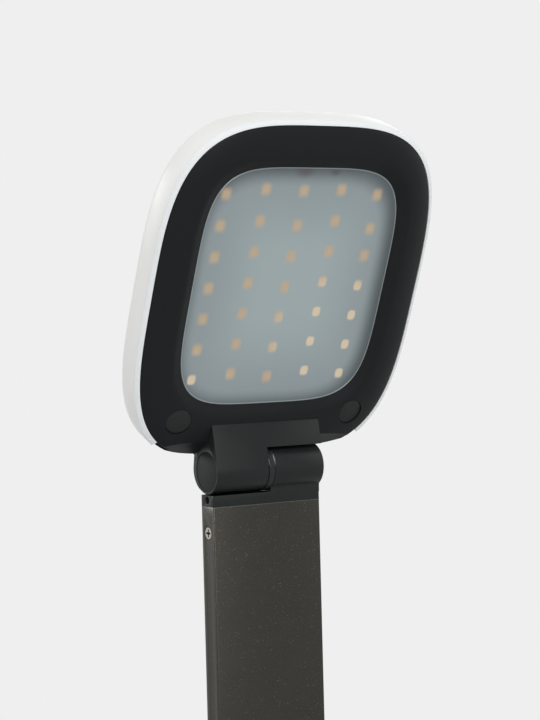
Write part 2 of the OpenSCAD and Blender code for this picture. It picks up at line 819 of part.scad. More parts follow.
module arm_top_knuckle() { color(black_plastic) place_upper() knuckle(); }
module arm_bottom_knuckle() { color(black_plastic) place_lower() knuckle(); }
module arm_top_screws() { color(steel) place_upper() side_screws(); }
module arm_bottom_screws() { color(steel) place_lower() side_screws(); }
module upper_end_cap() { color(hinge_black) place_upper() barrel_cap(); }
module lower_end_cap() { color(hinge_black) place_lower() barrel_cap(); }

module arm_tube() {
    len = arm_len - 2 * tube_end;
    sink = side_screw_r - 0.9;
    color(arm_paint) translate([0, arm_back, lower_axis + tube_end]) difference() {
        linear_extrude(len) polygon(slab(arm_w, arm_t, arm_edge));
        translate([0, 0, -1]) linear_extrude(len + 2)
            square([arm_w - 2 * arm_wall, arm_t - 2 * arm_wall], center = true);
        for (s = [-1, 1], z = [side_screw_in, len - side_screw_in])
            translate([s * (arm_w / 2 + 0.05), 0, z]) rotate([0, -s * 90, 0]) {
                cylinder(r1 = side_screw_r + 0.1, r2 = 0.95, h = sink + 0.15);
                cylinder(r = 0.95, h = 4);
            }
    }
}

module arm_wires() {
    low = lower_axis - upper_axis;
    bend = tube_end + 3;
    inner = tube_end + tongue_len;
    color(wire_black) place_upper() twin_wire([
        [-shaft_out, 0, 0],
        [shaft_out, 0, 0],
        [lead_x - 0.15, 0, -0.4],
        [lead_x, 0, -1.6],
        [lead_x, 0, -tube_end],
        [(lead_x + duct_x) / 2, 0, -bend],
        [duct_x, 0, -bend - 2.4],
        [duct_x, 0, -inner],
        [-duct_x, 0, low + inner],
        [-duct_x, 0, low + bend + 2.4],
        [-(lead_x + duct_x) / 2, 0, low + bend],
        [-lead_x, 0, low + tube_end],
        [-lead_x, 0, low + 1.6],
        [0.15 - lead_x, 0, low + 0.4],
        [-shaft_out, 0, low],
        [shaft_out, 0, low]
    ], [0, 1, 0]);
}

// Base

module base_outline(in) {
    polygon(squircle(base_w - 2 * in, base_d - 2 * in, base_square));
}

// Ring of the base's outline, drawn in by a margin
function base_ring(in, z) = ring(base_w - 2 * in, base_d - 2 * in, base_square, z);

// Foot plate and barrel that carry the arm; the barrel is on the +X side
module hinge_block() {
    seat_z = weight_top - lower_axis;
    top_z = -barrel_r - block_gap;
    color(hinge_black) translate([0, arm_back, lower_axis]) difference() {
        union() {
            translate([-arm_w / 2, -block_depth / 2, seat_z])
                cube([arm_w, block_depth, top_z - seat_z]);
            translate([-flange_w / 2, -flange_d / 2, seat_z]) cube([flange_w, flange_d, flange_t]);
            translate([-leaf_barrel_end, -block_depth / 2, top_z - 1])
                cube([arm_w / 2 + leaf_barrel_end, block_depth, 1 - top_z]);
            barrel(-leaf_barrel_end, arm_w / 2);
        }
        rotate([0, 180, 0]) running_barrel_cuts();
        wire_slot(lead_x - channel_x / 2, lead_x + channel_x / 2, wire_run_z - lower_axis, 0);
        translate([lead_x - channel_x / 2, -block_depth, wire_run_z - lower_axis - channel_y / 2])
            cube([channel_x, block_depth + channel_y / 2, channel_y]);
        translate([lead_x - channel_x / 2, -channel_y / 2 - 1, wire_run_z - lower_axis])
            cube([channel_x, channel_y / 2 + 1, channel_y / 2 + 1]);
        at_block_screws() translate([0, 0, seat_z - 1]) cylinder(r = 1.25, h = 8);
    }
}

// Height at which the wires leave the hinge block inside the base
wire_run_z = weight_top + flange_t + 1.4;

module at_block_screws() {
    for (sx = [-1, 1], sy = [-1, 1])
        translate([sx * block_screw_x, sy * block_screw_y, 0]) children();
}

module hinge_block_screws() {
    color(steel) translate([0, arm_back, weight_z + 2.2])
        at_block_screws() mirror([0, 0, 1]) pan_screw(2.6, 1.8, 1.2, weight_t - 2.2 + flange_t - 0.2);
}

module block_end_cap() {
    color(hinge_black) place_lower() mirror([1, 0, 0]) barrel_cap();
}

// The cover's posts stand over the feet, which hide the base's screws
module at_feet() {
    for (sx = [-1, 1], sy = [-1, 1])
        translate([sx * foot_x, sy * foot_y, 0]) children();
}

module at_control_screws() {
    for (sx = [-1, 1], sy = [-1, 1])
        translate([sx * control_screw_x, sy * control_screw_y - button_front, 0]) children();
}

module base_top_cover() {
    edge = base_lip + seat_gap;
    half = arm_w / 2 + 0.2;
    color(black_plastic) difference() {
        union() {
            difference() {
                loft(concat(
                    [base_ring(edge, base_h - cover_edge_t)],
                    [for (f = [0, 0.3, 0.6, 0.85, 1])
                        base_ring(edge + 9 * f, base_h + base_crown * (1 - pow(1 - f, 2)))]
                ));
                translate([0, 0, base_h - cover_edge_t - 1])
                    linear_extrude(cover_under - base_h + cover_edge_t + 1) base_outline(edge + 6);
            }
            at_feet() translate([0, 0, weight_z])
                cylinder(r = post_r, h = cover_under - weight_z + 0.5);
            at_control_screws() translate([0, 0, control_top])
                cylinder(r = 2.4, h = cover_under - control_top + 0.5);
        }
        translate([-half, arm_back - block_depth / 2 - 0.2, 0])
            cube([2 * half, block_depth + 0.4, base_top + 5]);
        translate([0, -button_front, 0]) cylinder(d = button_d + 2 * button_gap, h = base_top + 5);
        at_feet() translate([0, 0, weight_z - 1]) cylinder(r = base_shank_r + 0.05, h = 9);
        at_control_screws() translate([0, 0, control_top - 1]) cylinder(r = 0.9, h = 4.5);
    }
}

module base_shell() {
    ledge = base_h - cover_edge_t;
    color(gloss_white) difference() {
        band(concat(
            [for (a = [0:30:90])
                base_ring(base_round * (1 - sin(a)), plate_z + base_round * (1 - cos(a)))],
            [base_ring(0, base_h - base_lip_drop),
             base_ring(base_lip - 0.1, base_h),
             base_ring(base_lip, base_h),
             base_ring(base_lip, ledge),
             base_ring(shell_wall, ledge),
             base_ring(shell_wall, weight_z),
             base_ring(base_lip, weight_z),
             base_ring(base_lip, plate_z)]
        ));
        translate([0, base_d / 2 - shell_wall - 2, socket_z]) rotate([-90, 0, 0])
            linear_extrude(shell_wall + 5)
                polygon(slab(socket_w + 2 * cutout_gap, socket_h + 2 * cutout_gap,
                             socket_h / 2 + cutout_gap - 0.05));
    }
}

module at_power_screws() {
    for (s = [-1, 1])
        translate([s * (power_w / 2 - 3), power_front + 3, 0]) children();
}

module base_bottom_plate() {
    color(black_plastic) difference() {
        union() {
            translate([0, 0, plate_z]) linear_extrude(plate_t) base_outline(base_lip + seat_gap);
            at_power_screws() translate([0, 0, weight_z - 0.5])
                cylinder(r = 2.2, h = power_z - weight_z + 0.5);
        }
        at_feet() translate([0, 0, plate_z - 1]) cylinder(d = foot_d + 0.2, h = 1 + foot_sink);
        at_feet() translate([0, 0, plate_z]) cylinder(r = base_shank_r + 0.1, h = plate_t + 1);
        at_feet() translate([0, 0, plate_z + foot_sink - 0.01])
            cylinder(r1 = base_screw_r + 0.15, r2 = base_shank_r + 0.1,
                     h = base_screw_r - base_shank_r + 0.05);
        at_power_screws() translate([0, 0, weight_z - 0.4]) cylinder(r = 0.8, h = 8);
    }
}

module base_weight() {
    color(steel) difference() {
        translate([0, 0, weight_z]) linear_extrude(weight_t)
            polygon(squircle(weight_w, weight_d, base_square));
        at_feet() translate([0, 0, weight_z - 1]) cylinder(r = post_r + 0.4, h = weight_t + 2);
        translate([0, arm_back, weight_z]) at_block_screws() {
            translate([0, 0, -1]) cylinder(r = 2.9, h = 3.2);
            cylinder(r = 1.5, h = weight_t + 1);
        }
    }
}

module rubber_feet() {
    color(rubber_black) at_feet() cylinder(d = foot_d, h = foot_h + foot_sink);
}

module base_screws() {
    color(steel) at_feet() translate([0, 0, plate_z + foot_sink + 0.05]) mirror([0, 0, 1])
        flat_screw(base_screw_r, base_shank_r, post_screw_len);
}

module control_board() {
    color(board_green) difference() {
        translate([-control_w / 2, -button_front - control_d / 2, control_top - pcb_t])
            cube([control_w, control_d, pcb_t]);
        at_control_screws() translate([0, 0, control_top - pcb_t - 1]) cylinder(r = 1.1, h = 4);
    }
}

module control_board_screws() {
    color(steel) at_control_screws() translate([0, 0, control_top - pcb_t]) mirror([0, 0, 1])
        pan_screw(1.8, 0.8, 0.88, pcb_t + 3);
}

module switch_housing() {
    color(rubber_black) translate([0, -button_front, control_top]) difference() {
        translate([-switch_w / 2, -switch_w / 2, 0]) cube([switch_w, switch_w, switch_h]);
        translate([0, 0, 0.3]) cylinder(r = plunger_r + plunger_gap, h = switch_h);
    }
}

module switch_plunger() {
    low = control_top + 0.4 + button_travel;
    color(gloss_white) translate([0, -button_front, low])
        cylinder(r = plunger_r, h = flange_under - low);
}

module power_button() {
    dish_r = 60;
    dish = 0.4;
    color(hinge_black) translate([0, -button_front, 0]) difference() {
        union() {
            translate([0, 0, flange_under]) cylinder(d = button_d, h = button_top - flange_under);
            translate([0, 0, flange_under]) cylinder(d = button_d + 2 * button_flange, h = button_flange_t);
        }
        translate([0, 0, button_top + dish_r - dish]) sphere(r = dish_r, $fn = 96);
    }
}

module power_board() {
    color(board_green) difference() {
        translate([-power_w / 2, power_front, power_z]) cube([power_w, power_d, pcb_t]);
        at_power_screws() translate([0, 0, power_z - 1]) cylinder(r = 1.1, h = 4);
    }
}

module power_board_screws() {
    color(steel) at_power_screws() translate([0, 0, power_z + pcb_t]) pan_screw(1.8, 0.9, 0.78, 3);
}

module usb_socket() {
    round_r = socket_h / 2 - 0.05;
    color(steel) translate([0, socket_face, socket_z]) rotate([90, 0, 0]) {
        difference() {
            linear_extrude(socket_len) polygon(slab(socket_w, socket_h, round_r));
            translate([0, 0, -1]) linear_extrude(socket_len - 0.2)
                polygon(slab(socket_w - 2 * socket_wall, socket_h - 2 * socket_wall, round_r - socket_wall));
        }
        translate([-3.3, -0.35, 1]) cube([6.6, 0.7, socket_len - 1.5]);
    }
}

module base_wires() {
    x = lead_x;
    y = arm_back;
    board_y = -button_front + control_d / 2;
    over_weight = weight_top + 1.2;
    side_x = -flange_w / 2 - 4;
    color(wire_black) {
        twin_wire([
            [shaft_out + split_gap, y, lower_axis],
            [shaft_out + 0.4, y, lower_axis - 0.05],
            [x - 0.1, y, lower_axis - 0.5],
            [x, y, lower_axis - 1.6],
            [x, y, wire_run_z + 2.4],
            [x, y - 0.7, wire_run_z + 0.7],
            [x, y - 2.4, wire_run_z],
            [x, y - block_depth, wire_run_z],
            [x - 4, board_y + 8, wire_run_z],
            [x - 5, board_y + 1, control_top + 2],
            [x - 5, board_y - 2.4, control_top + 1.9],
            [x - 5, board_y - 3.6, control_top + 1.1],
            [x - 5, board_y - 3.6, control_top + 0.15]
        ], [0, 1, 0]);
        twin_wire([
            [-7, power_front + 4, power_z + pcb_t + 0.1],
            [-7, power_front + 4, power_z + pcb_t + 1.1],
            [-8.6, power_front + 4, power_z + pcb_t + 2.1],
            [-15, power_front + 3.4, over_weight + 1],
            [side_x + 4, power_front + 1.5, over_weight + 0.3],
            [side_x, power_front - 5, over_weight],
            [side_x, y - flange_d / 2 - 4, over_weight],
            [-12, board_y + 10, over_weight],
            [-8, board_y + 1, control_top + 2],
            [-8, board_y - 2.4, control_top + 1.9],
            [-8, board_y - 3.6, control_top + 1.1],
            [-8, board_y - 3.6, control_top + 0.15]
        ], [0, 1, 0]);
    }
}

head_rear_cover();
head_bezel();
diffuser();
reflector_frame();
led_board();
leds();
led_board_screws();
head_wires();
head_screws();
screw_plugs();
hinge_leaf();
leaf_screws();
leaf_end_cap();
upper_shaft();
upper_spacer_ring();
upper_spring_washers();
upper_lock_nut();
arm_top_knuckle();
upper_end_cap();
arm_tube();
arm_top_screws();
arm_bottom_knuckle();
arm_bottom_screws();
lower_end_cap();
arm_wires();
lower_shaft();
lower_spacer_ring();
lower_spring_washers();
lower_lock_nut();
hinge_block();
block_end_cap();
hinge_block_screws();
base_top_cover();
base_shell();
base_bottom_plate();
base_weight();
rubber_feet();
base_screws();
control_board();
control_board_screws();
switch_housing();
power_board();
power_board_screws();
usb_socket();
base_wires();
power_button();
switch_plunger();
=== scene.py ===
import json
import math

import bmesh
import bpy
from mathutils import Matrix, Vector


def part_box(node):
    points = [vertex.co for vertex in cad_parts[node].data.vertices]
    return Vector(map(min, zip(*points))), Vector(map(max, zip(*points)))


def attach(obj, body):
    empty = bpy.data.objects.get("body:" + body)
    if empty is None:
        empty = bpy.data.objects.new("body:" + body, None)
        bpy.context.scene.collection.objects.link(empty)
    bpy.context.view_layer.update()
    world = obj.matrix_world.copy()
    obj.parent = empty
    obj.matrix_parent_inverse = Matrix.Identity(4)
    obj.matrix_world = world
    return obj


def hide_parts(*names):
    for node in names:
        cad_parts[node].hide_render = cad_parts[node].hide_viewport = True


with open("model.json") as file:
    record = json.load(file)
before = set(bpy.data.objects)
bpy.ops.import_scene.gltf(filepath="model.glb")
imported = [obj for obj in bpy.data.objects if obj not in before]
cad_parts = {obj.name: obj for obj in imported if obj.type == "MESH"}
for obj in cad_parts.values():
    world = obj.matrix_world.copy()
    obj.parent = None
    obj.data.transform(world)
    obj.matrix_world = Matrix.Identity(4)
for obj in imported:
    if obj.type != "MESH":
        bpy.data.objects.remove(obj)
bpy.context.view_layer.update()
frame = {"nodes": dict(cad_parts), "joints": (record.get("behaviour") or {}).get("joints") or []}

# Rear cover of the head: white ABS, moulded in one piece and polished outside. Its outline
# is a superellipse all the way down, so one rule sweeps the profile of the wall round it.
# The lip round the bezel, the side wall, the domed back and the inside are one profile.
MM = 0.001
JOINT_AT = {joint["name"]: Vector(joint["pos_m"]) for joint in frame["joints"] if "pos_m" in joint}
HEAD_HINGE = JOINT_AT["head_tilt"]
HEAD_LEAN = math.radians(23.4)
HEAD_PLACE = Matrix.Translation(HEAD_HINGE) @ Matrix.Rotation(HEAD_LEAN + math.pi / 2, 4, "X")

HEAD_SIZE = (90.4, 104.2)
HEAD_SQUARE = 3.5
HEAD_MIDDLE = 0.3 + HEAD_SIZE[1] / 2
RIM_LEVEL = -3.7
BACK_LEVEL = RIM_LEVEL - 9.8
FLOOR_LEVEL = BACK_LEVEL + 2
HEAD_DOME = 1.5
HEAD_ROUND = 2.0
LIP_WIDTH = 1.4
LIP_DROP = 0.8


class Term:
    """A socket of a node tree. Maths on it is written as an expression, which adds the nodes."""

    def __init__(self, tree, socket=None):
        self.tree = tree
        self.socket = socket

    def node(self, kind, settings=None, inputs=None, out=0):
        """Adds a node, with its settings first and then its sockets, and returns one output."""
        node = self.tree.nodes.new(kind)
        for name, value in (settings or {}).items():
            if name == "stops":
                for stop, (position, colour) in zip(node.color_ramp.elements, value):
                    stop.position = position
                    stop.color = colour
            else:
                setattr(node, name, value)
        for name, value in (inputs or {}).items():
            if isinstance(value, Term):
                self.tree.links.new(value.socket, node.inputs[name])
            else:
                node.inputs[name].default_value = value
        return Term(self.tree, node.outputs[out] if node.outputs else None)

    def maths(self, operation, *values):
        return self.node("ShaderNodeMath", {"operation": operation}, dict(enumerate(values)))

    def __add__(self, other):
        return self.maths("ADD", self, other)

    def __sub__(self, other):
        return self.maths("SUBTRACT", self, other)

    def __rsub__(self, other):
        return self.maths("SUBTRACT", other, self)

    def __mul__(self, other):
        return self.maths("MULTIPLY", self, other)

    def __truediv__(self, other):
        return self.maths("DIVIDE", self, other)

    def __rtruediv__(self, other):
        return self.maths("DIVIDE", other, self)

    def __pow__(self, other):
        return self.maths("POWER", self, other)

    def __abs__(self):
        return self.maths("ABSOLUTE", self)

    def __mod__(self, other):
        return self.maths("FLOORED_MODULO", self, other)

    def __lt__(self, other):
        return self.maths("LESS_THAN", self, other)

    def __gt__(self, other):
        return self.maths("GREATER_THAN", self, other)

    __radd__ = __add__
    __rmul__ = __mul__

    def part(self, axis):
        return self.node("ShaderNodeSeparateXYZ", inputs={0: self}, out=axis)

    def ramp(self, low, high, start=0.0, end=1.0):
        """Goes smoothly from start to end as the term goes from low to high."""
        settings = {"interpolation_type": "SMOOTHSTEP"}
        return self.node("ShaderNodeMapRange", settings, {0: self, 1: low, 2: high, 3: start, 4: end})

    def blend(self, first, second):
        """Colour first where the term is 0, colour second where it is 1."""
        settings = {"data_type": "RGBA"}
        return self.node("ShaderNodeMix", settings, {0: self, 6: first, 7: second}, out=2)


def shade(red, green, blue):
    """A colour as a screen shows it, 0 to 255, in the renderer's linear values."""
    values = [v / 255 for v in (red, green, blue)]
    return [v / 12.92 if v <= 0.04045 else ((v + 0.055) / 1.055) ** 2.4 for v in values] + [1]


def new_finish(name, colour, roughness, **fixed):
    """A material, its shader, a term for its tree, and the place on the piece, for its patterns.
    Fixed values go to the shader's own sockets."""
    material = bpy.data.materials.new(name)
    material.use_nodes = True
    shader = material.node_tree.nodes["Principled BSDF"]
    shader.inputs["Base Color"].default_value = colour
    shader.inputs["Roughness"].default_value = roughness
    for socket, value in fixed.items():
        shader.inputs[socket.replace("_", " ")].default_value = value
    term = Term(material.node_tree)
    return material, shader, term, term.node("ShaderNodeTexCoord", out="Object")


def feed(shader, socket, term):
    term.tree.links.new(term.socket, shader.inputs[socket])


def noise(term, place, size, detail=2.0):
    """Soft random values from 0 to 1, with grains of about the given size in millimetres."""
    return term.node("ShaderNodeTexNoise", {}, {"Vector": place, "Scale": 1 / (size * MM), "Detail": detail})


def relief(shader, term, height, depth):
    """Feeds a height from 0 to 1 to the shader as bump of the given depth in millimetres."""
    inputs = {"Strength": 1.0, "Distance": depth * MM, "Height": height}
    feed(shader, "Normal", term.node("ShaderNodeBump", {}, inputs))


def polished_white():
    """White ABS from a polished mould, with the lightest handling haze."""
    material, shader, term, place = new_finish(
        "polished_white_abs", shade(233, 233, 231), 0.34, Specular_IOR_Level=0.12)
    haze = noise(term, place, 9, 4)
    feed(shader, "Base Color", haze.blend(shade(235, 235, 233), shade(230, 230, 228)))
    feed(shader, "Roughness", haze.ramp(0.3, 0.7, 0.30, 0.38))
    return material


def lip_painted_shade():
    """The lip's face, left satin by the mould, with painted shade: its white is a shade greyer than the
    walls'.
    """
    material, shader, term, place = new_finish(
        "satin_white_lip", shade(223, 226, 227), 0.5, Specular_IOR_Level=0.2)
    haze = noise(term, place, 12, 3)
    feed(shader, "Base Color", haze.blend(shade(225, 228, 229), shade(220, 223, 224)))
    relief(shader, term, noise(term, place, 0.25), 0.004)
    return material


WHITE_ABS = polished_white()
WHITE_LIP_PAINTED_SHADE = lip_painted_shade()


def new_socket(tree, name, kind, value=None):
    socket = tree.interface.new_socket(name, in_out="INPUT", socket_type=kind)
    if value is not None:
        socket.default_value = value
    return socket


def squircle_sweep():
    """Node tree that sweeps a profile round a superellipse. Each point of the profile is a ring:
    its half sizes and squareness are attributes, and its own place gives the middle and level."""
    tree = bpy.data.node_groups.new("squircle_sweep", "GeometryNodeTree")
    new_socket(tree, "Profile", "NodeSocketGeometry")
    new_socket(tree, "Points Around", "NodeSocketInt", 288)
    new_socket(tree, "Pivot", "NodeSocketVector")
    new_socket(tree, "Tilt", "NodeSocketFloat")
    new_socket(tree, "Finish", "NodeSocketMaterial")
    tree.interface.new_socket("Shell", in_out="OUTPUT", socket_type="NodeSocketGeometry")
    term = Term(tree)
    given = {s.name: Term(tree, s) for s in tree.nodes.new("NodeGroupInput").outputs if s.name}

    around = given["Points Around"]
    rings = term.node("GeometryNodeAttributeDomainSize", {"component": "MESH"}, {0: given["Profile"]})
    grid = term.node("GeometryNodeMeshGrid", {}, {"Vertices X": rings, "Vertices Y": around + 1})
    index = term.node("GeometryNodeInputIndex")
    step = index % (around + 1)
    ring = term.maths("ROUND", (index - step) / (around + 1))
    angle = step / around * math.tau

    def of_ring(name):
        settings = {"data_type": "FLOAT"}
        value = term.node("GeometryNodeInputNamedAttribute", settings, {"Name": name})
        inputs = {"Geometry": given["Profile"], "Value": value, "Index": ring}
        return term.node("GeometryNodeSampleIndex", {"data_type": "FLOAT"}, inputs)

    square = of_ring("square")
    across = term.maths("COSINE", angle)
    along = term.maths("SINE", angle)
    reach = (abs(across) / of_ring("half_width")) ** square + (abs(along) / of_ring("half_height")) ** square
    reach = reach ** (-1 / square)
    place = term.node("ShaderNodeCombineXYZ", {}, {
        0: across * reach,
        1: along * reach + of_ring("middle"),
        2: of_ring("level"),
    })
    tilted = term.node("ShaderNodeVectorRotate", {"rotation_type": "X_AXIS"},
                       {"Vector": place, "Angle": given["Tilt"]})
    moved = term.node("ShaderNodeVectorMath", {"operation": "ADD"}, {0: tilted, 1: given["Pivot"]})
    shell = term.node("GeometryNodeSetPosition", {}, {"Geometry": grid, "Position": moved})
    shell = term.node("GeometryNodeMergeByDistance", {}, {"Geometry": shell, "Distance": 2e-6})
    shell = term.node("GeometryNodeRealizeInstances", {}, {"Geometry": shell})
    shell = term.node("GeometryNodeSetMaterial", {}, {"Geometry": shell, "Material": given["Finish"]})
    end = tree.nodes.new("NodeGroupOutput")
    tree.links.new(shell.socket, end.inputs[0])
    return tree


SQUIRCLE_SWEEP = squircle_sweep()


def new_piece(name, mesh):
    piece = bpy.data.objects.new(name, mesh)
    bpy.context.scene.collection.objects.link(piece)
    return piece


def settle(piece):
    """Turns what the modifiers make into the piece's own plain mesh, and removes them."""
    piece.update_tag()
    made = piece.evaluated_get(bpy.context.evaluated_depsgraph_get())
    mesh = bpy.data.meshes.new_from_object(made)
    piece.modifiers.clear()
    piece.data = mesh
    return piece


def run_tree(piece, tree, **inputs):
    """Runs a node tree on a piece, with its inputs given by name, and settles the result."""
    modifier = piece.modifiers.new(tree.name, "NODES")
    modifier.node_group = tree
    names = {s.name.replace(" ", "_"): s.identifier for s in tree.interface.items_tree}
    for name, value in inputs.items():
        modifier[names[name]] = value
    return settle(piece)


def face_outwards(piece):
    mesh = bmesh.new()
    mesh.from_mesh(piece.data)
    bmesh.ops.recalc_face_normals(mesh, faces=mesh.faces)
    mesh.to_mesh(piece.data)
    mesh.free()
    return piece


def sweep(name, profile, finish, tilt=0.0, pivot=(0.0, 0.0, 0.0), around=288):
    """A closed shell from a profile of (width, height, squareness, middle, level) rings, in millimetres."""
    mesh = bpy.data.meshes.new(name)
    mesh.from_pydata([(i * MM, 0, 0) for i in range(len(profile))], [], [])
    columns = [[ring[0] / 2 * MM for ring in profile], [ring[1] / 2 * MM for ring in profile],
               [ring[2] for ring in profile], [ring[3] * MM for ring in profile],
               [ring[4] * MM for ring in profile]]
    for label, values in zip(("half_width", "half_height", "square", "middle", "level"), columns):
        mesh.attributes.new(label, "FLOAT", "POINT").data.foreach_set("value", values)
    piece = new_piece(name, mesh)
    run_tree(piece, SQUIRCLE_SWEEP, Points_Around=around, Tilt=tilt, Pivot=tuple(pivot), Finish=finish)
    return face_outwards(piece)


def head_sweep(name, profile, finish):
    return sweep(name, profile, finish, HEAD_LEAN + math.pi / 2, HEAD_HINGE)


def head_ring(inset, level):
    return (HEAD_SIZE[0] - 2 * inset, HEAD_SIZE[1] - 2 * inset, HEAD_SQUARE, HEAD_MIDDLE, level)


def head_share(share, level, inset=0.0):
    """A ring of the head's outline drawn in towards its middle."""
    return ((HEAD_SIZE[0] - 2 * inset) * share, (HEAD_SIZE[1] - 2 * inset) * share,
            HEAD_SQUARE, HEAD_MIDDLE, level)


POLE = 1e-5


def rear_cover_profile():
    edge = 0.18
    outer = [head_share(max(s, POLE), BACK_LEVEL - HEAD_DOME * (1 - s * s), HEAD_ROUND)
             for s in (0, 0.2, 0.4, 0.55, 0.7, 0.8, 0.88, 0.94, 0.98)]
    turn = [head_ring(HEAD_ROUND * (1 - math.sin(a)), BACK_LEVEL + HEAD_ROUND * (1 - math.cos(a)))
            for a in (math.radians(d) for d in range(0, 91, 10))]
    lip = [
        head_ring(0, RIM_LEVEL - LIP_DROP - edge),
        head_ring(0.3 * edge, RIM_LEVEL - LIP_DROP - 0.3 * edge),
        head_ring(edge, RIM_LEVEL - LIP_DROP + 0.4 * edge),
        head_ring(LIP_WIDTH - 1.6 * edge, RIM_LEVEL - 0.2 * edge),
        head_ring(LIP_WIDTH - 0.8 * edge, RIM_LEVEL),
        head_ring(LIP_WIDTH - 0.2 * edge, RIM_LEVEL - 0.2 * edge),
        head_ring(LIP_WIDTH, RIM_LEVEL - edge),
    ]
    inside = [head_ring(LIP_WIDTH, FLOOR_LEVEL + 0.6), head_ring(LIP_WIDTH + 0.6, FLOOR_LEVEL),
              head_share(0.5, FLOOR_LEVEL, LIP_WIDTH), head_share(POLE, FLOOR_LEVEL)]
    return outer + turn + lip + inside


def made_piece(name, mesh, place):
    """Puts a new mesh in its place and makes a piece of it."""
    mesh.transform(place)
    data = bpy.data.meshes.new(name)
    mesh.to_mesh(data)
    mesh.free()
    return new_piece(name, data)


def block(name, low, high, place=Matrix()):
    """A box from its lowest to its highest corner, in millimetres, put in place by a matrix."""
    mesh = bmesh.new()
    bmesh.ops.create_cube(mesh, size=1)
    low, high = Vector(low) * MM, Vector(high) * MM
    fit = Matrix.Translation((low + high) / 2) @ Matrix.Diagonal((*(high - low), 1))
    return made_piece(name, mesh, place @ fit)


def rod(name, radius, low, high, place, around=64):
    """A round bar from level low to level high along its own axis, in millimetres."""
    mesh = bmesh.new()
    bmesh.ops.create_cone(mesh, cap_ends=True, segments=around, radius1=radius * MM,
                          radius2=radius * MM, depth=(high - low) * MM)
    return made_piece(name, mesh, place @ Matrix.Translation((0, 0, (low + high) / 2 * MM)))


def prism(name, corners, way, place):
    """A flat outline drawn out into a solid along a straight way, in millimetres."""
    mesh = bmesh.new()
    face = mesh.faces.new([mesh.verts.new([c * MM for c in corner]) for corner in corners])
    grown = bmesh.ops.extrude_face_region(mesh, geom=[face])["geom"]
    moved = [v for v in grown if isinstance(v, bmesh.types.BMVert)]
    bmesh.ops.translate(mesh, verts=moved, vec=[step * MM for step in way])
    bmesh.ops.recalc_face_normals(mesh, faces=mesh.faces)
    return made_piece(name, mesh, place)


def joined(piece, operation, *tools):
    """Adds or cuts away other solids, which are used up."""
    for tool in tools:
        modifier = piece.modifiers.new("tool", "BOOLEAN")
        modifier.operation = operation
        modifier.solver = "MANIFOLD"
        modifier.object = tool
        settle(piece)
        bpy.data.objects.remove(tool)
    return piece


def finished(piece, finish, body, slot, *nodes, crease=28):
    """Shades a piece smoothly up to its creases and hands it to its body in place of the CAD nodes.
    Without a finish it keeps those that it has."""
    if finish:
        piece.data.materials.clear()
        piece.data.materials.append(finish)
        piece.data.polygons.foreach_set("material_index", [0] * len(piece.data.polygons))
    piece.data.polygons.foreach_set("use_smooth", [True] * len(piece.data.polygons))
    piece.data.set_sharp_from_angle(angle=math.radians(crease))
    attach(piece, body)
    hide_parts(*nodes)
    return piece


def face_finish(piece, finish, chosen):
    """Gives the faces that chosen(middle, normal) picks one more finish."""
    piece.data.materials.append(finish)
    index = len(piece.data.materials) - 1
    for face in piece.data.polygons:
        if chosen(face.center, face.normal):
            face.material_index = index


CHIN_EDGE = 7.1
CHIN_SLOPE = math.radians(38)
CHIN_END = (33.9, 8.8)
CHIN_INSET = (0.05, 1.35)
CHIN_SQUARE = 3.55
CHIN_BACK = FLOOR_LEVEL + 0.2
LEAF_OPENING = 36.3
LEAF_TOP = 14.1


def chin_tool():
    """The half space in front of the sloped chin."""
    turn = Matrix.Translation((0, CHIN_EDGE * MM, RIM_LEVEL * MM)) @ Matrix.Rotation(CHIN_SLOPE, 4, "X")
    return block("chin_tool", (-90, -40, 0), (90, 20, 40), HEAD_PLACE @ turn)


def chin_ring(grow, level):
    """The chin's own outline, which leaves the head's towards the foot."""
    width, height = (size - 2 * inset + 2 * grow for size, inset in zip(HEAD_SIZE, CHIN_INSET))
    return (width, height, CHIN_SQUARE, HEAD_MIDDLE, level)


def chin_prism(grow, low, high):
    middle = (POLE, POLE, CHIN_SQUARE, HEAD_MIDDLE)
    slab = [(*middle, high), chin_ring(grow, high), chin_ring(grow, low), (*middle, low)]
    return head_sweep("chin", slab, WHITE_ABS)


def foot_tool(low, high):
    """The head's foot between two levels, up to ends of the white wall that are square to its outline."""
    x, y = CHIN_END
    out, down = 6.2, 7.8
    corners = [(-x, y), (x, y), (x + out, y - down), (x + out, -10), (-x - out, -10), (-x - out, y - down)]
    return prism("foot_tool", [(*corner, low) for corner in corners], (0, 0, high - low), HEAD_PLACE)


def leaf_tool():
    """The room of the hinge leaf at the foot of the head."""
    half = LEAF_OPENING / 2
    return block("leaf_tool", (-half, -10, FLOOR_LEVEL), (half, LEAF_TOP, 20), HEAD_PLACE)


HEAD_SPOTS = {
    "plugs": [(x, 15.5) for x in (-29.1, 29.1)],
    "board": [(x, y) for x in (-36.25, 36.25) for y in (33.3, 77.3)],
    "leaf": [(x, y) for x in (-8, 8) for y in (20, 27)],
}
BOARD_BACK = -8.4
BOSS_SPLIT = -6.73
SCREW_SEAT = -5.13
HEAD_BOSSES = {"plugs": (2.9, BOSS_SPLIT), "board": (2.6, BOARD_BACK)}
HEAD_BORES = {"plugs": (1.0, FLOOR_LEVEL, 0), "board": (0.8, FLOOR_LEVEL, 0),
              "leaf": (1.0, FLOOR_LEVEL - 1.4, FLOOR_LEVEL + 3)}
BEHIND_HEAD = -20
BEFORE_HEAD = 10
TO_HEAD = HEAD_PLACE.inverted()


def head_points(kind):
    """Matrices at the plugs, the board's screws or the leaf's screws, their z along the head's depth."""
    return [HEAD_PLACE @ Matrix.Translation((x * MM, y * MM, 0)) for x, y in HEAD_SPOTS[kind]]


def is_lip(middle, normal):
    """Whether a face belongs to the lip round the bezel."""
    return (TO_HEAD @ middle).z / MM > RIM_LEVEL - LIP_DROP - 0.2


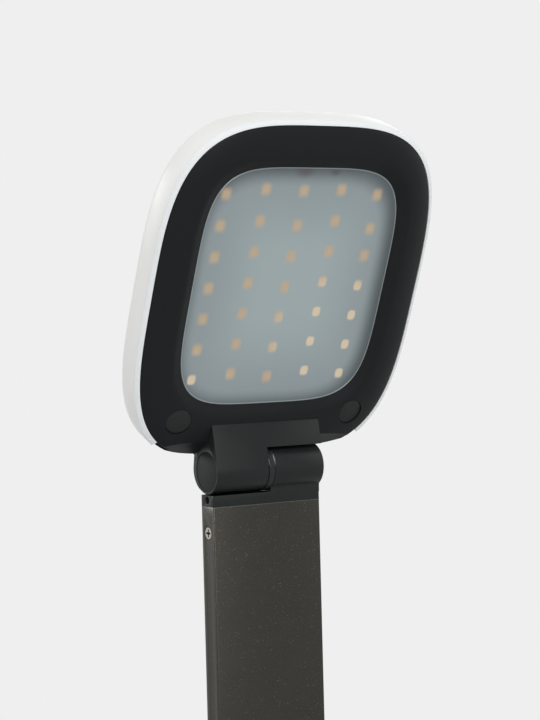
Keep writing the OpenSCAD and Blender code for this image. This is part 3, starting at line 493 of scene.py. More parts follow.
rear_cover = head_sweep("rear_cover", rear_cover_profile(), WHITE_ABS)
for kind, (radius, top) in HEAD_BOSSES.items():
    for spot in head_points(kind):
        joined(rear_cover, "UNION", rod("boss", radius, FLOOR_LEVEL - 0.5, top, spot, 32))
for kind, bore in HEAD_BORES.items():
    for spot in head_points(kind):
        joined(rear_cover, "DIFFERENCE", rod("hole", *bore, spot, 24))
floor_edge = foot_tool(BEHIND_HEAD, FLOOR_LEVEL + 0.1)
joined(floor_edge, "DIFFERENCE", chin_prism(-0.4, BEHIND_HEAD - 5, 5))
joined(rear_cover, "DIFFERENCE", foot_tool(FLOOR_LEVEL, BEFORE_HEAD), floor_edge, leaf_tool())
finished(rear_cover, WHITE_ABS, "head", "gloss_white", "head_rear_cover")
# The lip's faces get a greyer white than the walls: painted shade.
face_finish(rear_cover, WHITE_LIP_PAINTED_SHADE, is_lip)

# Bezel: black ABS with a fine satin spark finish, sprung into the rear cover's lip. It rises
# from the window in a bevel to a soft ridge and falls away convexly to its rim.
# The two counterbores for the plugs and the sloped chin are moulded in.
WINDOW_SIZE = (63.7, 71.6)
WINDOW_SQUARE = 4.5
WINDOW_MIDDLE = HEAD_MIDDLE + 2.9
BEVEL_WIDTH = 2.9
RIDGE_LEVEL = RIM_LEVEL + 1.95
WINDOW_LEVEL = RIDGE_LEVEL - 1.75
BEZEL_BACK = RIM_LEVEL - 1.8
DIFFUSER_LAP = 2.0
DIFFUSER_BACK = WINDOW_LEVEL - 1.8


def window_ring(grow, level):
    return (WINDOW_SIZE[0] + 2 * grow, WINDOW_SIZE[1] + 2 * grow, WINDOW_SQUARE, WINDOW_MIDDLE, level)


def between(first, second, share):
    return tuple(a + (b - a) * share for a, b in zip(first, second))


def bezel_profile():
    play = 0.1
    rim = head_ring(LIP_WIDTH + play, RIM_LEVEL)
    ridge = window_ring(BEVEL_WIDTH, RIDGE_LEVEL)

    def fall(share):
        ring = list(between(ridge, rim, share))
        ring[4] = RIDGE_LEVEL - (RIDGE_LEVEL - RIM_LEVEL) * share * share
        return tuple(ring)

    foot = window_ring(0.0, WINDOW_LEVEL)
    edge = 0.25
    outside = [
        head_ring(LIP_WIDTH + play, BEZEL_BACK),
        head_ring(LIP_WIDTH + play, RIM_LEVEL - edge - 0.1),
        head_ring(LIP_WIDTH + play + 0.08, RIM_LEVEL - 0.12),
        head_ring(LIP_WIDTH + play + 0.26, RIM_LEVEL + 0.04),
    ]
    convex = [fall(s / 20) for s in range(19, 2, -1)]
    start, end = fall(0.1), between(ridge, foot, 0.3)
    soft = [between(between(start, ridge, t / 5), between(ridge, end, t / 5), t / 5) for t in range(6)]
    bevel = [between(end, foot, t) for t in (0.35, 0.7, 0.93)]
    inside = [
        window_ring(0.06, WINDOW_LEVEL + 0.03),
        window_ring(0.0, WINDOW_LEVEL),
        window_ring(DIFFUSER_LAP + play, WINDOW_LEVEL),
        window_ring(DIFFUSER_LAP + play, BEZEL_BACK),
    ]
    rings = outside + convex + soft + bevel + inside
    return rings + [rings[0]]


def satin_black():
    """Black ABS with a spark-eroded satin skin: fine even grain and a soft sheen."""
    material, shader, term, place = new_finish(
        "satin_black_abs", shade(24, 26, 27), 0.40, Specular_IOR_Level=0.1)
    patch = noise(term, place, 14, 3)
    grain = noise(term, place, 0.16, 1)
    feed(shader, "Base Color", patch.blend(shade(23, 25, 26), shade(25, 27, 28)))
    feed(shader, "Roughness", patch.ramp(0.3, 0.7, 0.40, 0.47))
    relief(shader, term, grain, 0.006)
    return material


BLACK_ABS = satin_black()
PLUG_TILT = math.radians(12)
PLUG_TURN = math.radians(38)
PLUG_LEVEL = RIDGE_LEVEL - 0.48
PLUG_RADIUS = 3.85


def plug_places():
    """Matrices at the two plugs, their z square to the bezel's falling face."""
    turns = [Matrix.Rotation(s * PLUG_TURN, 4, "Z") for s in (-1, 1)]
    return [spot @ Matrix.Translation((0, 0, PLUG_LEVEL * MM)) @ turn @ Matrix.Rotation(PLUG_TILT, 4, "X")
            for spot, turn in zip(head_points("plugs"), turns)]


def chin_solid():
    """The solid under the rim that carries the chin, with the same square ends as the wall beside it."""
    chin = chin_prism(0, CHIN_BACK, BEZEL_BACK + 0.5)
    return joined(chin, "INTERSECT", foot_tool(BEHIND_HEAD, BEFORE_HEAD))


bezel = head_sweep("bezel", bezel_profile(), BLACK_ABS)
joined(bezel, "UNION", chin_solid())
for spot in head_points("plugs"):
    joined(bezel, "UNION", rod("boss", 5, BOSS_SPLIT, BEZEL_BACK + 0.5, spot, 48))
joined(bezel, "DIFFERENCE", chin_tool(), leaf_tool())
for spot in plug_places():
    joined(bezel, "DIFFERENCE", rod("counterbore", PLUG_RADIUS + 0.1, -1.3, 8, spot))
for spot in head_points("plugs"):
    joined(bezel, "DIFFERENCE", rod("seat", 2.4, SCREW_SEAT, SCREW_SEAT + 5, spot, 32))
    joined(bezel, "DIFFERENCE", rod("hole", 1.35, BOSS_SPLIT - 1, 0, spot, 32))
finished(bezel, BLACK_ABS, "head", "black_shell", "head_bezel", crease=24)

# Diffuser: a sheet of frosted acrylic behind the bezel. The lamp is off, and the sheet's colour is
# painted light: a soft, blurred painted picture of the white board, its LEDs and two wire joints
# behind it, with painted shade that dims it towards the frame, where the bezel shades the board.
LED_PITCH = (12.5, 9.3)
LED_STAGGER = 1.4
LED_COLUMNS = 5
LED_ROWS = 7
LED_SIZE = (2.8, 3.5)
LED_LOW = WINDOW_MIDDLE - (LED_ROWS - 1) / 2 * LED_PITCH[1] - LED_STAGGER / 2
# Where the painted LED picture lies on the sheet, and the size of its spots.
SEEN_SHIFT = (-1.8, 0.95)
SEEN_SCALE = 0.993
SEEN_LED = (2.4, 2.75)


def frosted_acrylic():
    material, shader, term, place = new_finish("frosted_acrylic", shade(150, 161, 163), 0.38)
    centre = (*HEAD_HINGE,)
    own = term.node("ShaderNodeMapping", {"vector_type": "TEXTURE"}, {
        "Vector": place,
        "Location": centre, "Rotation": (HEAD_LEAN + math.pi / 2, 0, 0), "Scale": (MM, MM, MM),
    })
    x, y = own.part(0), own.part(1)

    def edge(shift_x, shift_y):
        """0 at the middle of the window and 1 at its outline, moved by a few millimetres."""
        across = (abs(x + shift_x) / (WINDOW_SIZE[0] / 2)) ** WINDOW_SQUARE
        along = (abs(y - WINDOW_MIDDLE + shift_y) / (WINDOW_SIZE[1] / 2)) ** WINDOW_SQUARE
        return (across + along) ** (1 / WINDOW_SQUARE)

    led_x = (x - SEEN_SHIFT[0]) / SEEN_SCALE
    led_y = (y - WINDOW_MIDDLE - SEEN_SHIFT[1]) / SEEN_SCALE + WINDOW_MIDDLE
    column = term.maths("ROUND", led_x / LED_PITCH[0]) + (LED_COLUMNS - 1) / 2
    row_y = led_y - LED_LOW - (column % 2) * LED_STAGGER
    high = (abs(column - 2) < 0.5) * (abs(row_y - 6 * LED_PITCH[1] - 0.9) < 4)
    low = (abs(column - 4) < 0.5) * (abs(row_y - 5 * LED_PITCH[1] + 0.9) < 4)
    row_y = row_y - high + low
    row = term.maths("ROUND", row_y / LED_PITCH[1])
    inside = (abs(column - 2) < 2.5) * (abs(row - 3) < 3.5)
    off_x = abs(led_x - (column - 2) * LED_PITCH[0])
    off_y = abs(row_y - row * LED_PITCH[1])

    def close_to(spot_x, spot_y, full, none):
        """1 within a few millimetres of a spot, where the painted LED picture is sharper and brighter."""
        return (((x - spot_x) ** 2 + (y - WINDOW_MIDDLE - spot_y) ** 2) ** 0.5).ramp(full, none, 1.0, 0.0)

    near = term.maths("MAXIMUM", close_to(17, -15, 13, 24), close_to(-27, -33, 4, 17))
    blur = 1.15 - 0.7 * near
    reach = ((off_x / (SEEN_LED[0] / 2)) ** 3 + (off_y / (SEEN_LED[1] / 2)) ** 3) ** (1 / 3)
    spot = (1 - (reach - 1) / blur).ramp(0.2, 1.5) * inside

    # Painted shade: the grey of the white board seen in shade, darker from the middle towards the frame and
    # darkest in a band along it, where the bezel shades the board.
    sheet = edge(0, 0).ramp(0.2, 1.0).blend(shade(151, 163, 165), shade(134, 145, 148))
    sheet = (edge(1.5, 0.6).ramp(0.85, 1.035) * 0.94).blend(sheet, shade(64, 73, 76))
    board = noise(term, own, 5000, 2)
    sheet = (board * 0.06).blend(sheet, shade(120, 128, 128))
    # Painted light: warm soft spots where the LEDs lie behind the sheet, brighter and sharper near the two
    # spots.
    painted_led_light = near.blend(shade(184, 161, 130), shade(207, 190, 164))
    sheet = (spot * near.ramp(0, 1, 0.9, 1.0)).blend(sheet, painted_led_light)
    # Painted picture of two dark wire joints behind the sheet, as blurred dark marks.
    joints = None
    for joint_x, joint_y, size in ((-2.6, 90.3, 4.6), (7.4, 89.9, 2.6)):
        far = ((x - joint_x) ** 2 + ((y - joint_y) * 1.6) ** 2) ** 0.5
        mark = 1 - far.ramp(0, size)
        joints = mark if joints is None else term.maths("MAXIMUM", joints, mark)
    sheet = (joints * 0.75).blend(sheet, shade(72, 64, 66))
    # Painted highlight: a thin light line along the window's outline, on the sheet's bead.
    painted_window_highlight = edge(0, 0).ramp(0.989, 0.995)
    sheet = (painted_window_highlight * 0.5).blend(sheet, shade(160, 167, 168))
    feed(shader, "Base Color", sheet)
    return material


def diffuser_profile():
    bead = 0.28
    front = [window_ring(-bead, WINDOW_LEVEL), window_ring(-0.7 * bead, WINDOW_LEVEL + 0.10),
             window_ring(-0.3 * bead, WINDOW_LEVEL + 0.12), window_ring(0.0, WINDOW_LEVEL + 0.02)]
    middle = (POLE, POLE, WINDOW_SQUARE, WINDOW_MIDDLE, WINDOW_LEVEL)
    lap = DIFFUSER_LAP
    back = [window_ring(lap, WINDOW_LEVEL - 0.02), window_ring(lap, DIFFUSER_BACK)]
    return [middle, window_ring(-12, WINDOW_LEVEL)] + front + back + [(*middle[:4], DIFFUSER_BACK)]


FROSTED_PAINTED_LIGHT = frosted_acrylic()
diffuser = head_sweep("diffuser_sheet", diffuser_profile(), FROSTED_PAINTED_LIGHT)
finished(diffuser, FROSTED_PAINTED_LIGHT, "head", "diffuser", "diffuser")

# Hinge leaf, knuckles and hinge block: zinc castings in satin black paint, which rounds
# their edges a little. The castings are the CAD solids with that edge radius added.


def painted_casting():
    material, shader, term, place = new_finish(
        "satin_black_paint", shade(29, 32, 32), 0.34, Specular_IOR_Level=0.15)
    patch = noise(term, place, 10, 3)
    peel = noise(term, place, 0.5, 2)
    feed(shader, "Base Color", patch.blend(shade(27, 30, 30), shade(31, 34, 34)))
    feed(shader, "Roughness", patch.ramp(0.3, 0.7, 0.31, 0.37))
    relief(shader, term, peel, 0.006)
    return material


def plain_skin(name, first, second, roughness, grain, **fixed):
    """A finish of two close colours in soft patches of about the given size in millimetres."""
    material, shader, term, place = new_finish(name, first, roughness, **fixed)
    patch = noise(term, place, grain, 3)
    feed(shader, "Base Color", patch.blend(first, second))
    feed(shader, "Roughness", patch.ramp(0.3, 0.7, roughness - 0.04, roughness + 0.04))
    return material


def cast_copy(node, finish, body, slot, radius, crease=30, added=()):
    """A CAD node's own shape with its sharp edges rounded and any solids added, which stands
    for the node."""
    mesh = bmesh.new()
    mesh.from_mesh(frame["nodes"][node].data)
    bmesh.ops.remove_doubles(mesh, verts=mesh.verts, dist=2e-6)
    flat = math.radians(0.5)
    bmesh.ops.dissolve_limit(mesh, angle_limit=flat, verts=mesh.verts, edges=mesh.edges)
    data = bpy.data.meshes.new(node + "_finished")
    mesh.to_mesh(data)
    mesh.free()
    piece = new_piece(node + "_finished", data)
    bevel = piece.modifiers.new("edges", "BEVEL")
    bevel.width = radius * MM
    bevel.segments = 2
    bevel.limit_method = "ANGLE"
    bevel.angle_limit = math.radians(crease)
    bevel.use_clamp_overlap = True
    settle(piece)
    joined(piece, "UNION", *added)
    return finished(piece, finish, body, slot, node, crease=crease)


BARREL_RADIUS = 6.4
HINGE_HALF = 18.0
SHOULDER = 6.7


def leaf_neck():
    """The cheek at the leaf's outer end, which backs the barrel and runs up into the head's foot."""
    thick, back, clear = 3.4, 1.3, 0.03
    lie = Matrix.Rotation(-math.pi / 2, 4, "Y")
    start = HEAD_PLACE @ Matrix.Translation((-HINGE_HALF * MM, 0, 0)) @ lie
    cheek = rod("cheek", BARREL_RADIUS, -thick, -clear, start @ Matrix.Translation((-back * MM, 0, 0)), 96)
    side = [(-2.2, -7.3), (3.0, -8.6), (8.0, -8.6), (8.0, -2.0), (-1.0, -2.0)]
    side = [(clear - HINGE_HALF, y, z) for y, z in side]
    joined(cheek, "UNION", prism("neck", side, (thick - clear, 0, 0), HEAD_PLACE))
    return joined(cheek, "DIFFERENCE", rod("barrel", BARREL_RADIUS - 0.1, -20, 20, start, 96))


def nearest_hinge(middle):
    return min(JOINT_AT["head_tilt"], JOINT_AT["arm_fold"], key=lambda at: (middle - at).length)


def is_chamfer(middle, normal):
    """Whether a face belongs to a barrel's or a ring's chamfered edge that faces left."""
    axis = nearest_hinge(middle)
    from_axis = math.hypot(middle.y - axis.y, middle.z - axis.z) / MM
    return abs(middle.x) < 2 * MM and -0.97 < normal.x < -0.25 and from_axis > BARREL_RADIUS - 0.4


def is_shoulder(middle, normal):
    """Whether a face is the flat of a casting that faces its neighbour's barrel."""
    from_axis = abs(middle.z - nearest_hinge(middle).z) / MM
    return abs(normal.z) > 0.25 and abs(from_axis - SHOULDER) < 0.3


def edge_painted_highlight():
    """Painted highlight on a chamfered edge: a light metallic colour where the edge looks up, above the
    hinge, and the black paint below.
    """
    material, shader, term, place = new_finish(
        "rubbed_casting_edge", shade(60, 64, 65), 0.32, Specular_IOR_Level=0.15)
    over_hinge = (place.part(2) - HEAD_HINGE.z) / MM
    patch = noise(term, place, 0.8, 3)
    # Painted highlight: lighter and metallic from 0.5 to 4.5 mm above the hinge, in patches.
    highlight_mask = over_hinge.ramp(0.5, 4.5) * patch.ramp(0.1, 0.5, 0.8, 1.0)
    feed(shader, "Base Color", highlight_mask.blend(shade(29, 32, 32), shade(158, 163, 163)))
    feed(shader, "Metallic", highlight_mask)
    feed(shader, "Roughness", patch.ramp(0.3, 0.7, 0.26, 0.38))
    return material


CAST_BLACK = painted_casting()
EDGE_PAINTED_HIGHLIGHT = edge_painted_highlight()
# Painted shade: the flats under a neighbour's barrel get a near-black matt finish without reflection.
FLAT_PAINTED_SHADE = plain_skin("bare_casting_flat", shade(13, 14, 14), shade(17, 18, 18), 0.8, 2,
                       Specular_IOR_Level=0.0)
leaf = cast_copy("hinge_leaf", CAST_BLACK, "head", "hinge_black", 0.12, added=[leaf_neck()])
face_finish(leaf, EDGE_PAINTED_HIGHLIGHT, is_chamfer)
for node, body in (("arm_top_knuckle", "arm"), ("arm_bottom_knuckle", "arm"), ("hinge_block", "base")):
    casting = cast_copy(node, CAST_BLACK, body, "hinge_black", 0.12)
    face_finish(casting, EDGE_PAINTED_HIGHLIGHT, is_chamfer)
    face_finish(casting, FLAT_PAINTED_SHADE, is_shoulder)

# Screw plugs: two soft black rubber discs pressed into the counterbores over the screws.
# They are matt and a shade lighter than the bezel, with a thin dark gap round them.


def matt_rubber():
    material, shader, term, place = new_finish(
        "matt_black_rubber", shade(41, 43, 42), 0.72, Specular_IOR_Level=0.1)
    bloom = noise(term, place, 2.5, 4)
    feed(shader, "Base Color", bloom.blend(shade(38, 40, 39), shade(44, 46, 45)))
    relief(shader, term, noise(term, place, 0.2, 2), 0.02)
    return material


RUBBER = matt_rubber()
cast_copy("screw_plugs", RUBBER, "head", "rubber", 0.18)

# LEDs: 35 white 2835 packages on the board, each a pale resin body with a yellow phosphor
# window, soldered in five columns of which every second one is raised.
# The board is white solder mask on aluminium, so that it throws the light forwards.


def led_field():
    """Node tree that sets LED packages out in columns and rows on the board."""
    tree = bpy.data.node_groups.new("led_field", "GeometryNodeTree")
    new_socket(tree, "Board", "NodeSocketGeometry")
    for name, value in (("Columns", LED_COLUMNS), ("Rows", LED_ROWS)):
        new_socket(tree, name, "NodeSocketInt", value)
    for name in ("Column Pitch", "Row Pitch", "Stagger", "Low", "Width", "Height", "Depth", "Level", "Tilt"):
        new_socket(tree, name, "NodeSocketFloat")
    new_socket(tree, "Pivot", "NodeSocketVector")
    new_socket(tree, "Finish", "NodeSocketMaterial")
    tree.interface.new_socket("LEDs", in_out="OUTPUT", socket_type="NodeSocketGeometry")
    term = Term(tree)
    given = {s.name: Term(tree, s) for s in tree.nodes.new("NodeGroupInput").outputs if s.name}

    def vector(x, y, z):
        return term.node("ShaderNodeCombineXYZ", {}, {0: x, 1: y, 2: z})

    spots = term.node("GeometryNodeMeshGrid", {}, {
        "Vertices X": given["Columns"], "Vertices Y": given["Rows"]})
    index = term.node("GeometryNodeInputIndex")
    row = index % given["Rows"]
    column = term.maths("ROUND", (index - row) / given["Rows"])
    moved_up = (abs(column - 2) < 0.5) * (row > 5.5)
    moved_down = (abs(column - 4) < 0.5) * (abs(row - 5) < 0.5)
    height = (given["Low"] + row * given["Row Pitch"] + (column % 2) * given["Stagger"]
              + (moved_up - moved_down) * MM)
    middle = (given["Columns"] - 1) / 2
    place = vector((column - middle) * given["Column Pitch"], height, given["Level"])
    spots = term.node("GeometryNodeSetPosition", {}, {"Geometry": spots, "Position": place})
    body = term.node("GeometryNodeMeshCube", {}, {
        "Size": vector(given["Width"], given["Height"], given["Depth"] * 0.8)})
    body = term.node("GeometryNodeTransform", {}, {
        "Geometry": body, "Translation": vector(0.0, 0.0, given["Depth"] * 0.4)})
    lens = term.node("GeometryNodeMeshCylinder", {}, {
        "Vertices": 20, "Radius": given["Width"] * 0.42, "Depth": given["Depth"] * 0.2})
    lens = term.node("GeometryNodeTransform", {}, {
        "Geometry": lens, "Translation": vector(0.0, 0.0, given["Depth"] * 0.9)})
    package = term.node("GeometryNodeJoinGeometry", {}, {0: body})
    tree.links.new(lens.socket, package.socket.node.inputs[0])
    leds = term.node("GeometryNodeInstanceOnPoints", {}, {"Points": spots, "Instance": package})
    leds = term.node("GeometryNodeRealizeInstances", {}, {"Geometry": leds})
    turn = vector(given["Tilt"], 0.0, 0.0)
    turn = term.node("FunctionNodeEulerToRotation", {}, {0: turn})
    leds = term.node("GeometryNodeTransform", {}, {
        "Geometry": leds, "Translation": given["Pivot"], "Rotation": turn})
    leds = term.node("GeometryNodeSetMaterial", {}, {"Geometry": leds, "Material": given["Finish"]})
    tree.links.new(leds.socket, tree.nodes.new("NodeGroupOutput").inputs[0])
    return tree


def phosphor():
    material, shader, term, place = new_finish("phosphor_resin", shade(236, 205, 140), 0.35)
    grain = noise(term, place, 0.3, 3)
    feed(shader, "Base Color", grain.blend(shade(240, 212, 150), shade(228, 192, 124)))
    return material


PHOSPHOR = phosphor()
LED_DEPTH = 0.7
BOARD_FRONT = BOARD_BACK + 1.2
leds = new_piece("led_packages", bpy.data.meshes.new("led_packages"))
run_tree(leds, led_field(), Columns=LED_COLUMNS, Rows=LED_ROWS, Column_Pitch=LED_PITCH[0] * MM,
         Row_Pitch=LED_PITCH[1] * MM, Stagger=LED_STAGGER * MM, Low=LED_LOW * MM, Width=LED_SIZE[0] * MM,
         Height=LED_SIZE[1] * MM, Depth=LED_DEPTH * MM, Level=BOARD_FRONT * MM,
         Tilt=HEAD_LEAN + math.pi / 2, Pivot=tuple(HEAD_HINGE), Finish=PHOSPHOR)
finished(face_outwards(leds), PHOSPHOR, "head", "led", "leds")


def dress(node, finish):
    """Gives a CAD node, which keeps its own shape, its finish."""
    for slot in frame["nodes"][node].material_slots:
        slot.material = finish


SOLDER_MASK_WHITE = plain_skin("white_solder_mask", shade(236, 238, 236), shade(228, 230, 228), 0.35, 3)
WHITE_MOULDING = plain_skin("white_moulding", shade(232, 232, 230), shade(225, 225, 223), 0.5, 4)
dress("led_board", SOLDER_MASK_WHITE)
dress("reflector_frame", WHITE_MOULDING)

# Wires: pairs of soft black insulated wire, soldered at the boards and led through both
# hollow shafts. They keep the CAD shape and get their skin here.
WIRE_SKIN = plain_skin("soft_wire_insulation", shade(30, 30, 31), shade(38, 38, 39), 0.5, 1.5)
for wires in ("head_wires", "arm_wires", "base_wires"):
    dress(wires, WIRE_SKIN)

# Screws: nickel-plated steel with cross-recessed heads, pan heads inside and countersunk
# heads where they show. One tree makes each set, and its places are those of the CAD screws.


def cross_head_screws():
    """Node tree that puts a cross-head screw on each point, its head towards the point's axis."""
    tree = bpy.data.node_groups.new("cross_head_screws", "GeometryNodeTree")
    new_socket(tree, "Places", "NodeSocketGeometry")
    for name in ("Head Radius", "Head Height", "Top Share", "Bottom Share", "Shank Radius", "Length"):
        new_socket(tree, name, "NodeSocketFloat")
    new_socket(tree, "Finish", "NodeSocketMaterial")
    new_socket(tree, "Recess Finish", "NodeSocketMaterial")
    tree.interface.new_socket("Screws", in_out="OUTPUT", socket_type="NodeSocketGeometry")
    term = Term(tree)
    given = {s.name: Term(tree, s) for s in tree.nodes.new("NodeGroupInput").outputs if s.name}
    wide, tall = given["Head Radius"], given["Head Height"]

    def vector(x, y, z):
        return term.node("ShaderNodeCombineXYZ", {}, {0: x, 1: y, 2: z})

    def moved(shape, x, y, z):
        return term.node("GeometryNodeTransform", {}, {"Geometry": shape, "Translation": vector(x, y, z)})

    def combined(operation, *shapes):
        made = term.node("GeometryNodeMeshBoolean", {"operation": operation, "solver": "MANIFOLD"})
        socket = 1 if operation == "UNION" else 0
        for shape in shapes:
            made.tree.links.new(shape.socket, made.socket.node.inputs[socket])
            socket = 1
        return made

    head = term.node("GeometryNodeMeshCone", {}, {
        "Vertices": 36, "Radius Top": wide * given["Top Share"],
        "Radius Bottom": wide * given["Bottom Share"], "Depth": tall})
    head = moved(head, 0.0, 0.0, 0 - tall)
    shank = term.node("GeometryNodeMeshCylinder", {}, {
        "Vertices": 24, "Radius": given["Shank Radius"], "Depth": given["Length"] - tall * 0.5})
    shank = moved(shank, 0.0, 0.0, 0 - given["Length"] * 0.5 - tall * 0.25)
    slot = tall * 1.4
    arms = [vector(wide * 1.24, wide * 0.32, slot), vector(wide * 0.32, wide * 1.24, slot)]
    cross = [term.node("GeometryNodeMeshCube", {}, {"Size": size}) for size in arms]
    screw = combined("DIFFERENCE", combined("UNION", head, shank), combined("UNION", *cross))
    spot = term.node("GeometryNodeInputPosition")
    from_axis = (spot.part(0) ** 2 + spot.part(1) ** 2) ** 0.5
    recess = (spot.part(2) > 0 - tall * 0.75) * (spot.part(2) < 0 - tall * 0.02) * (from_axis < wide * 0.64)
    screw = term.node("GeometryNodeStoreNamedAttribute", {"data_type": "BOOLEAN", "domain": "FACE"},
                      {"Geometry": screw, "Name": "recess", "Value": recess})
    axis = term.node("GeometryNodeInputNamedAttribute", {"data_type": "FLOAT_VECTOR"}, {"Name": "axis"})
    turn = term.node("FunctionNodeAlignRotationToVector", {"axis": "Z"}, {"Vector": axis})
    screws = term.node("GeometryNodeInstanceOnPoints", {}, {
        "Points": given["Places"], "Instance": screw, "Rotation": turn})
    screws = term.node("GeometryNodeRealizeInstances", {}, {"Geometry": screws})
    screws = term.node("GeometryNodeSetMaterial", {}, {"Geometry": screws, "Material": given["Finish"]})
    cut = term.node("GeometryNodeInputNamedAttribute", {"data_type": "BOOLEAN"}, {"Name": "recess"})
    screws = term.node("GeometryNodeSetMaterial", {}, {
        "Geometry": screws, "Selection": cut, "Material": given["Recess Finish"]})
    tree.links.new(screws.socket, tree.nodes.new("NodeGroupOutput").inputs[0])
    return tree


def nickel_plate():
    material, shader, term, place = new_finish("nickel_plate", shade(178, 174, 163), 0.28, Metallic=1.0)
    wear = noise(term, place, 0.4, 3)
    feed(shader, "Base Color", wear.blend(shade(196, 192, 181), shade(150, 144, 132)))
    feed(shader, "Roughness", wear.ramp(0.3, 0.7, 0.22, 0.38))
    return material


def islands(node):
    """The vertices of each separate solid of a CAD node."""
    mesh = bmesh.new()
    mesh.from_mesh(frame["nodes"][node].data)
    bmesh.ops.remove_doubles(mesh, verts=mesh.verts, dist=2e-6)
    left = set(mesh.verts)
    found = []
    while left:
        group, edge = set(), [left.pop()]
        while edge:
            vertex = edge.pop()
            group.add(vertex)
            near = [e.other_vert(vertex) for e in vertex.link_edges]
            edge += [v for v in near if v in left]
            left.difference_update(near)
        found.append([v.co.copy() for v in group])
    mesh.free()
    return found


NICKEL = nickel_plate()
# Painted shade: the cross recesses of the screws get a darker nickel.
RECESS_PAINTED_SHADE = plain_skin("recess_shadowed_nickel", shade(62, 54, 46), shade(44, 40, 36), 0.6, 0.3)
SCREW_TREE = cross_head_screws()


def screws(node, body, axis_of, head_height, countersunk):
    """Stands for a node of CAD screws. axis_of gives a screw's direction from its middle."""
    tops, axes = [], []
    for points in islands(node):
        middle = sum(points, Vector()) / len(points)
        axis = Vector(axis_of(middle)).normalized()
        along = [(p - middle).dot(axis) for p in points]
        flat = [p - middle - axis * (p - middle).dot(axis) for p in points]
        wide = max(p.length for p in flat)
        thin = min(p.length for p in flat if p.length > 0.2 * wide)
        tops.append(middle + axis * max(along))
        axes.append(axis)
        length = max(along) - min(along)
    mesh = bpy.data.meshes.new(node)
    mesh.from_pydata(tops, [], [])
    ways = mesh.attributes.new("axis", "FLOAT_VECTOR", "POINT")
    ways.data.foreach_set("vector", [part for axis in axes for part in axis])
    piece = new_piece(node + "_finished", mesh)
    shares = (0.9, thin / wide) if countersunk else (0.86, 1.0)
    run_tree(piece, SCREW_TREE, Head_Radius=wide, Head_Height=head_height * MM, Top_Share=shares[0],
             Bottom_Share=shares[1], Shank_Radius=thin, Length=length, Finish=NICKEL,
             Recess_Finish=RECESS_PAINTED_SHADE)
    finished(face_outwards(piece), None, body, "screw_steel", node)


UP = (0, 0, 1)
DOWN = (0, 0, -1)
HEAD_FRONT = HEAD_PLACE.to_3x3() @ Vector((0, 0, 1))
screws("arm_top_screws", "arm", lambda middle: (middle.x, 0, 0), 1.0, True)
screws("arm_bottom_screws", "arm", lambda middle: (middle.x, 0, 0), 1.0, True)
screws("leaf_screws", "head", lambda middle: HEAD_FRONT, 1.2, True)
screws("led_board_screws", "head", lambda middle: HEAD_FRONT, 0.9, False)
screws("head_screws", "head", lambda middle: HEAD_FRONT, 1.2, False)
screws("hinge_block_screws", "base", lambda middle: DOWN, 1.8, False)
screws("base_screws", "base", lambda middle: DOWN, 1.2, True)
screws("control_board_screws", "base", lambda middle: DOWN, 0.8, False)
screws("power_board_screws", "base", lambda middle: UP, 0.9, False)

# Hinge shafts, disc springs and nuts: turned and stamped steel, oiled, inside the barrels.
# The spacer ring that keeps the barrels apart is blackened steel.
OILED_STEEL = plain_skin("oiled_steel", shade(176, 176, 178), shade(150, 150, 152), 0.32, 2, Metallic=1.0)
for part in ("shaft", "spring_washers", "lock_nut"):
    dress("upper_" + part, OILED_STEEL)
    dress("lower_" + part, OILED_STEEL)
BLACKENED_STEEL = plain_skin("blackened_steel", shade(34, 37, 38), shade(38, 41, 42), 0.34, 1.2,
                             Specular_IOR_Level=0.15)
for ring in ("upper_spacer_ring", "lower_spacer_ring"):
    turned = cast_copy(ring, BLACKENED_STEEL, "arm", "ring_steel", 0.25)
    # The ring's left chamfer gets the same painted highlight.
    face_finish(turned, EDGE_PAINTED_HIGHLIGHT, is_chamfer)

# End caps: black plastic discs pressed into the outer ends of the barrels, over the shafts.
# The mould leaves a fine matt texture on their faces.


def textured_cap():
    material, shader, term, place = new_finish(
        "textured_black_cap", shade(32, 34, 33), 0.55, Specular_IOR_Level=0.1)
    grain = noise(term, place, 0.22, 2)
    feed(shader, "Base Color", grain.blend(shade(30, 32, 31), shade(35, 37, 36)))
    relief(shader, term, grain, 0.03)
    return material


CAP_BLACK = textured_cap()
CAP_BODIES = {"leaf_end_cap": "head", "upper_end_cap": "arm", "lower_end_cap": "arm",
              "block_end_cap": "base"}
for cap, body in CAP_BODIES.items():
    cast_copy(cap, CAP_BLACK, body, "cap_black", 0.12)

# Arm: a flat extruded aluminium tube in dark olive-grey metallic paint. Fine flakes in the
# paint catch the light one by one, the corners are nearly sharp, and the top edge is lighter:
# bare metal at the sawn ends and painted highlight.
TUBE_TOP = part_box("arm_tube")[1][2] / MM


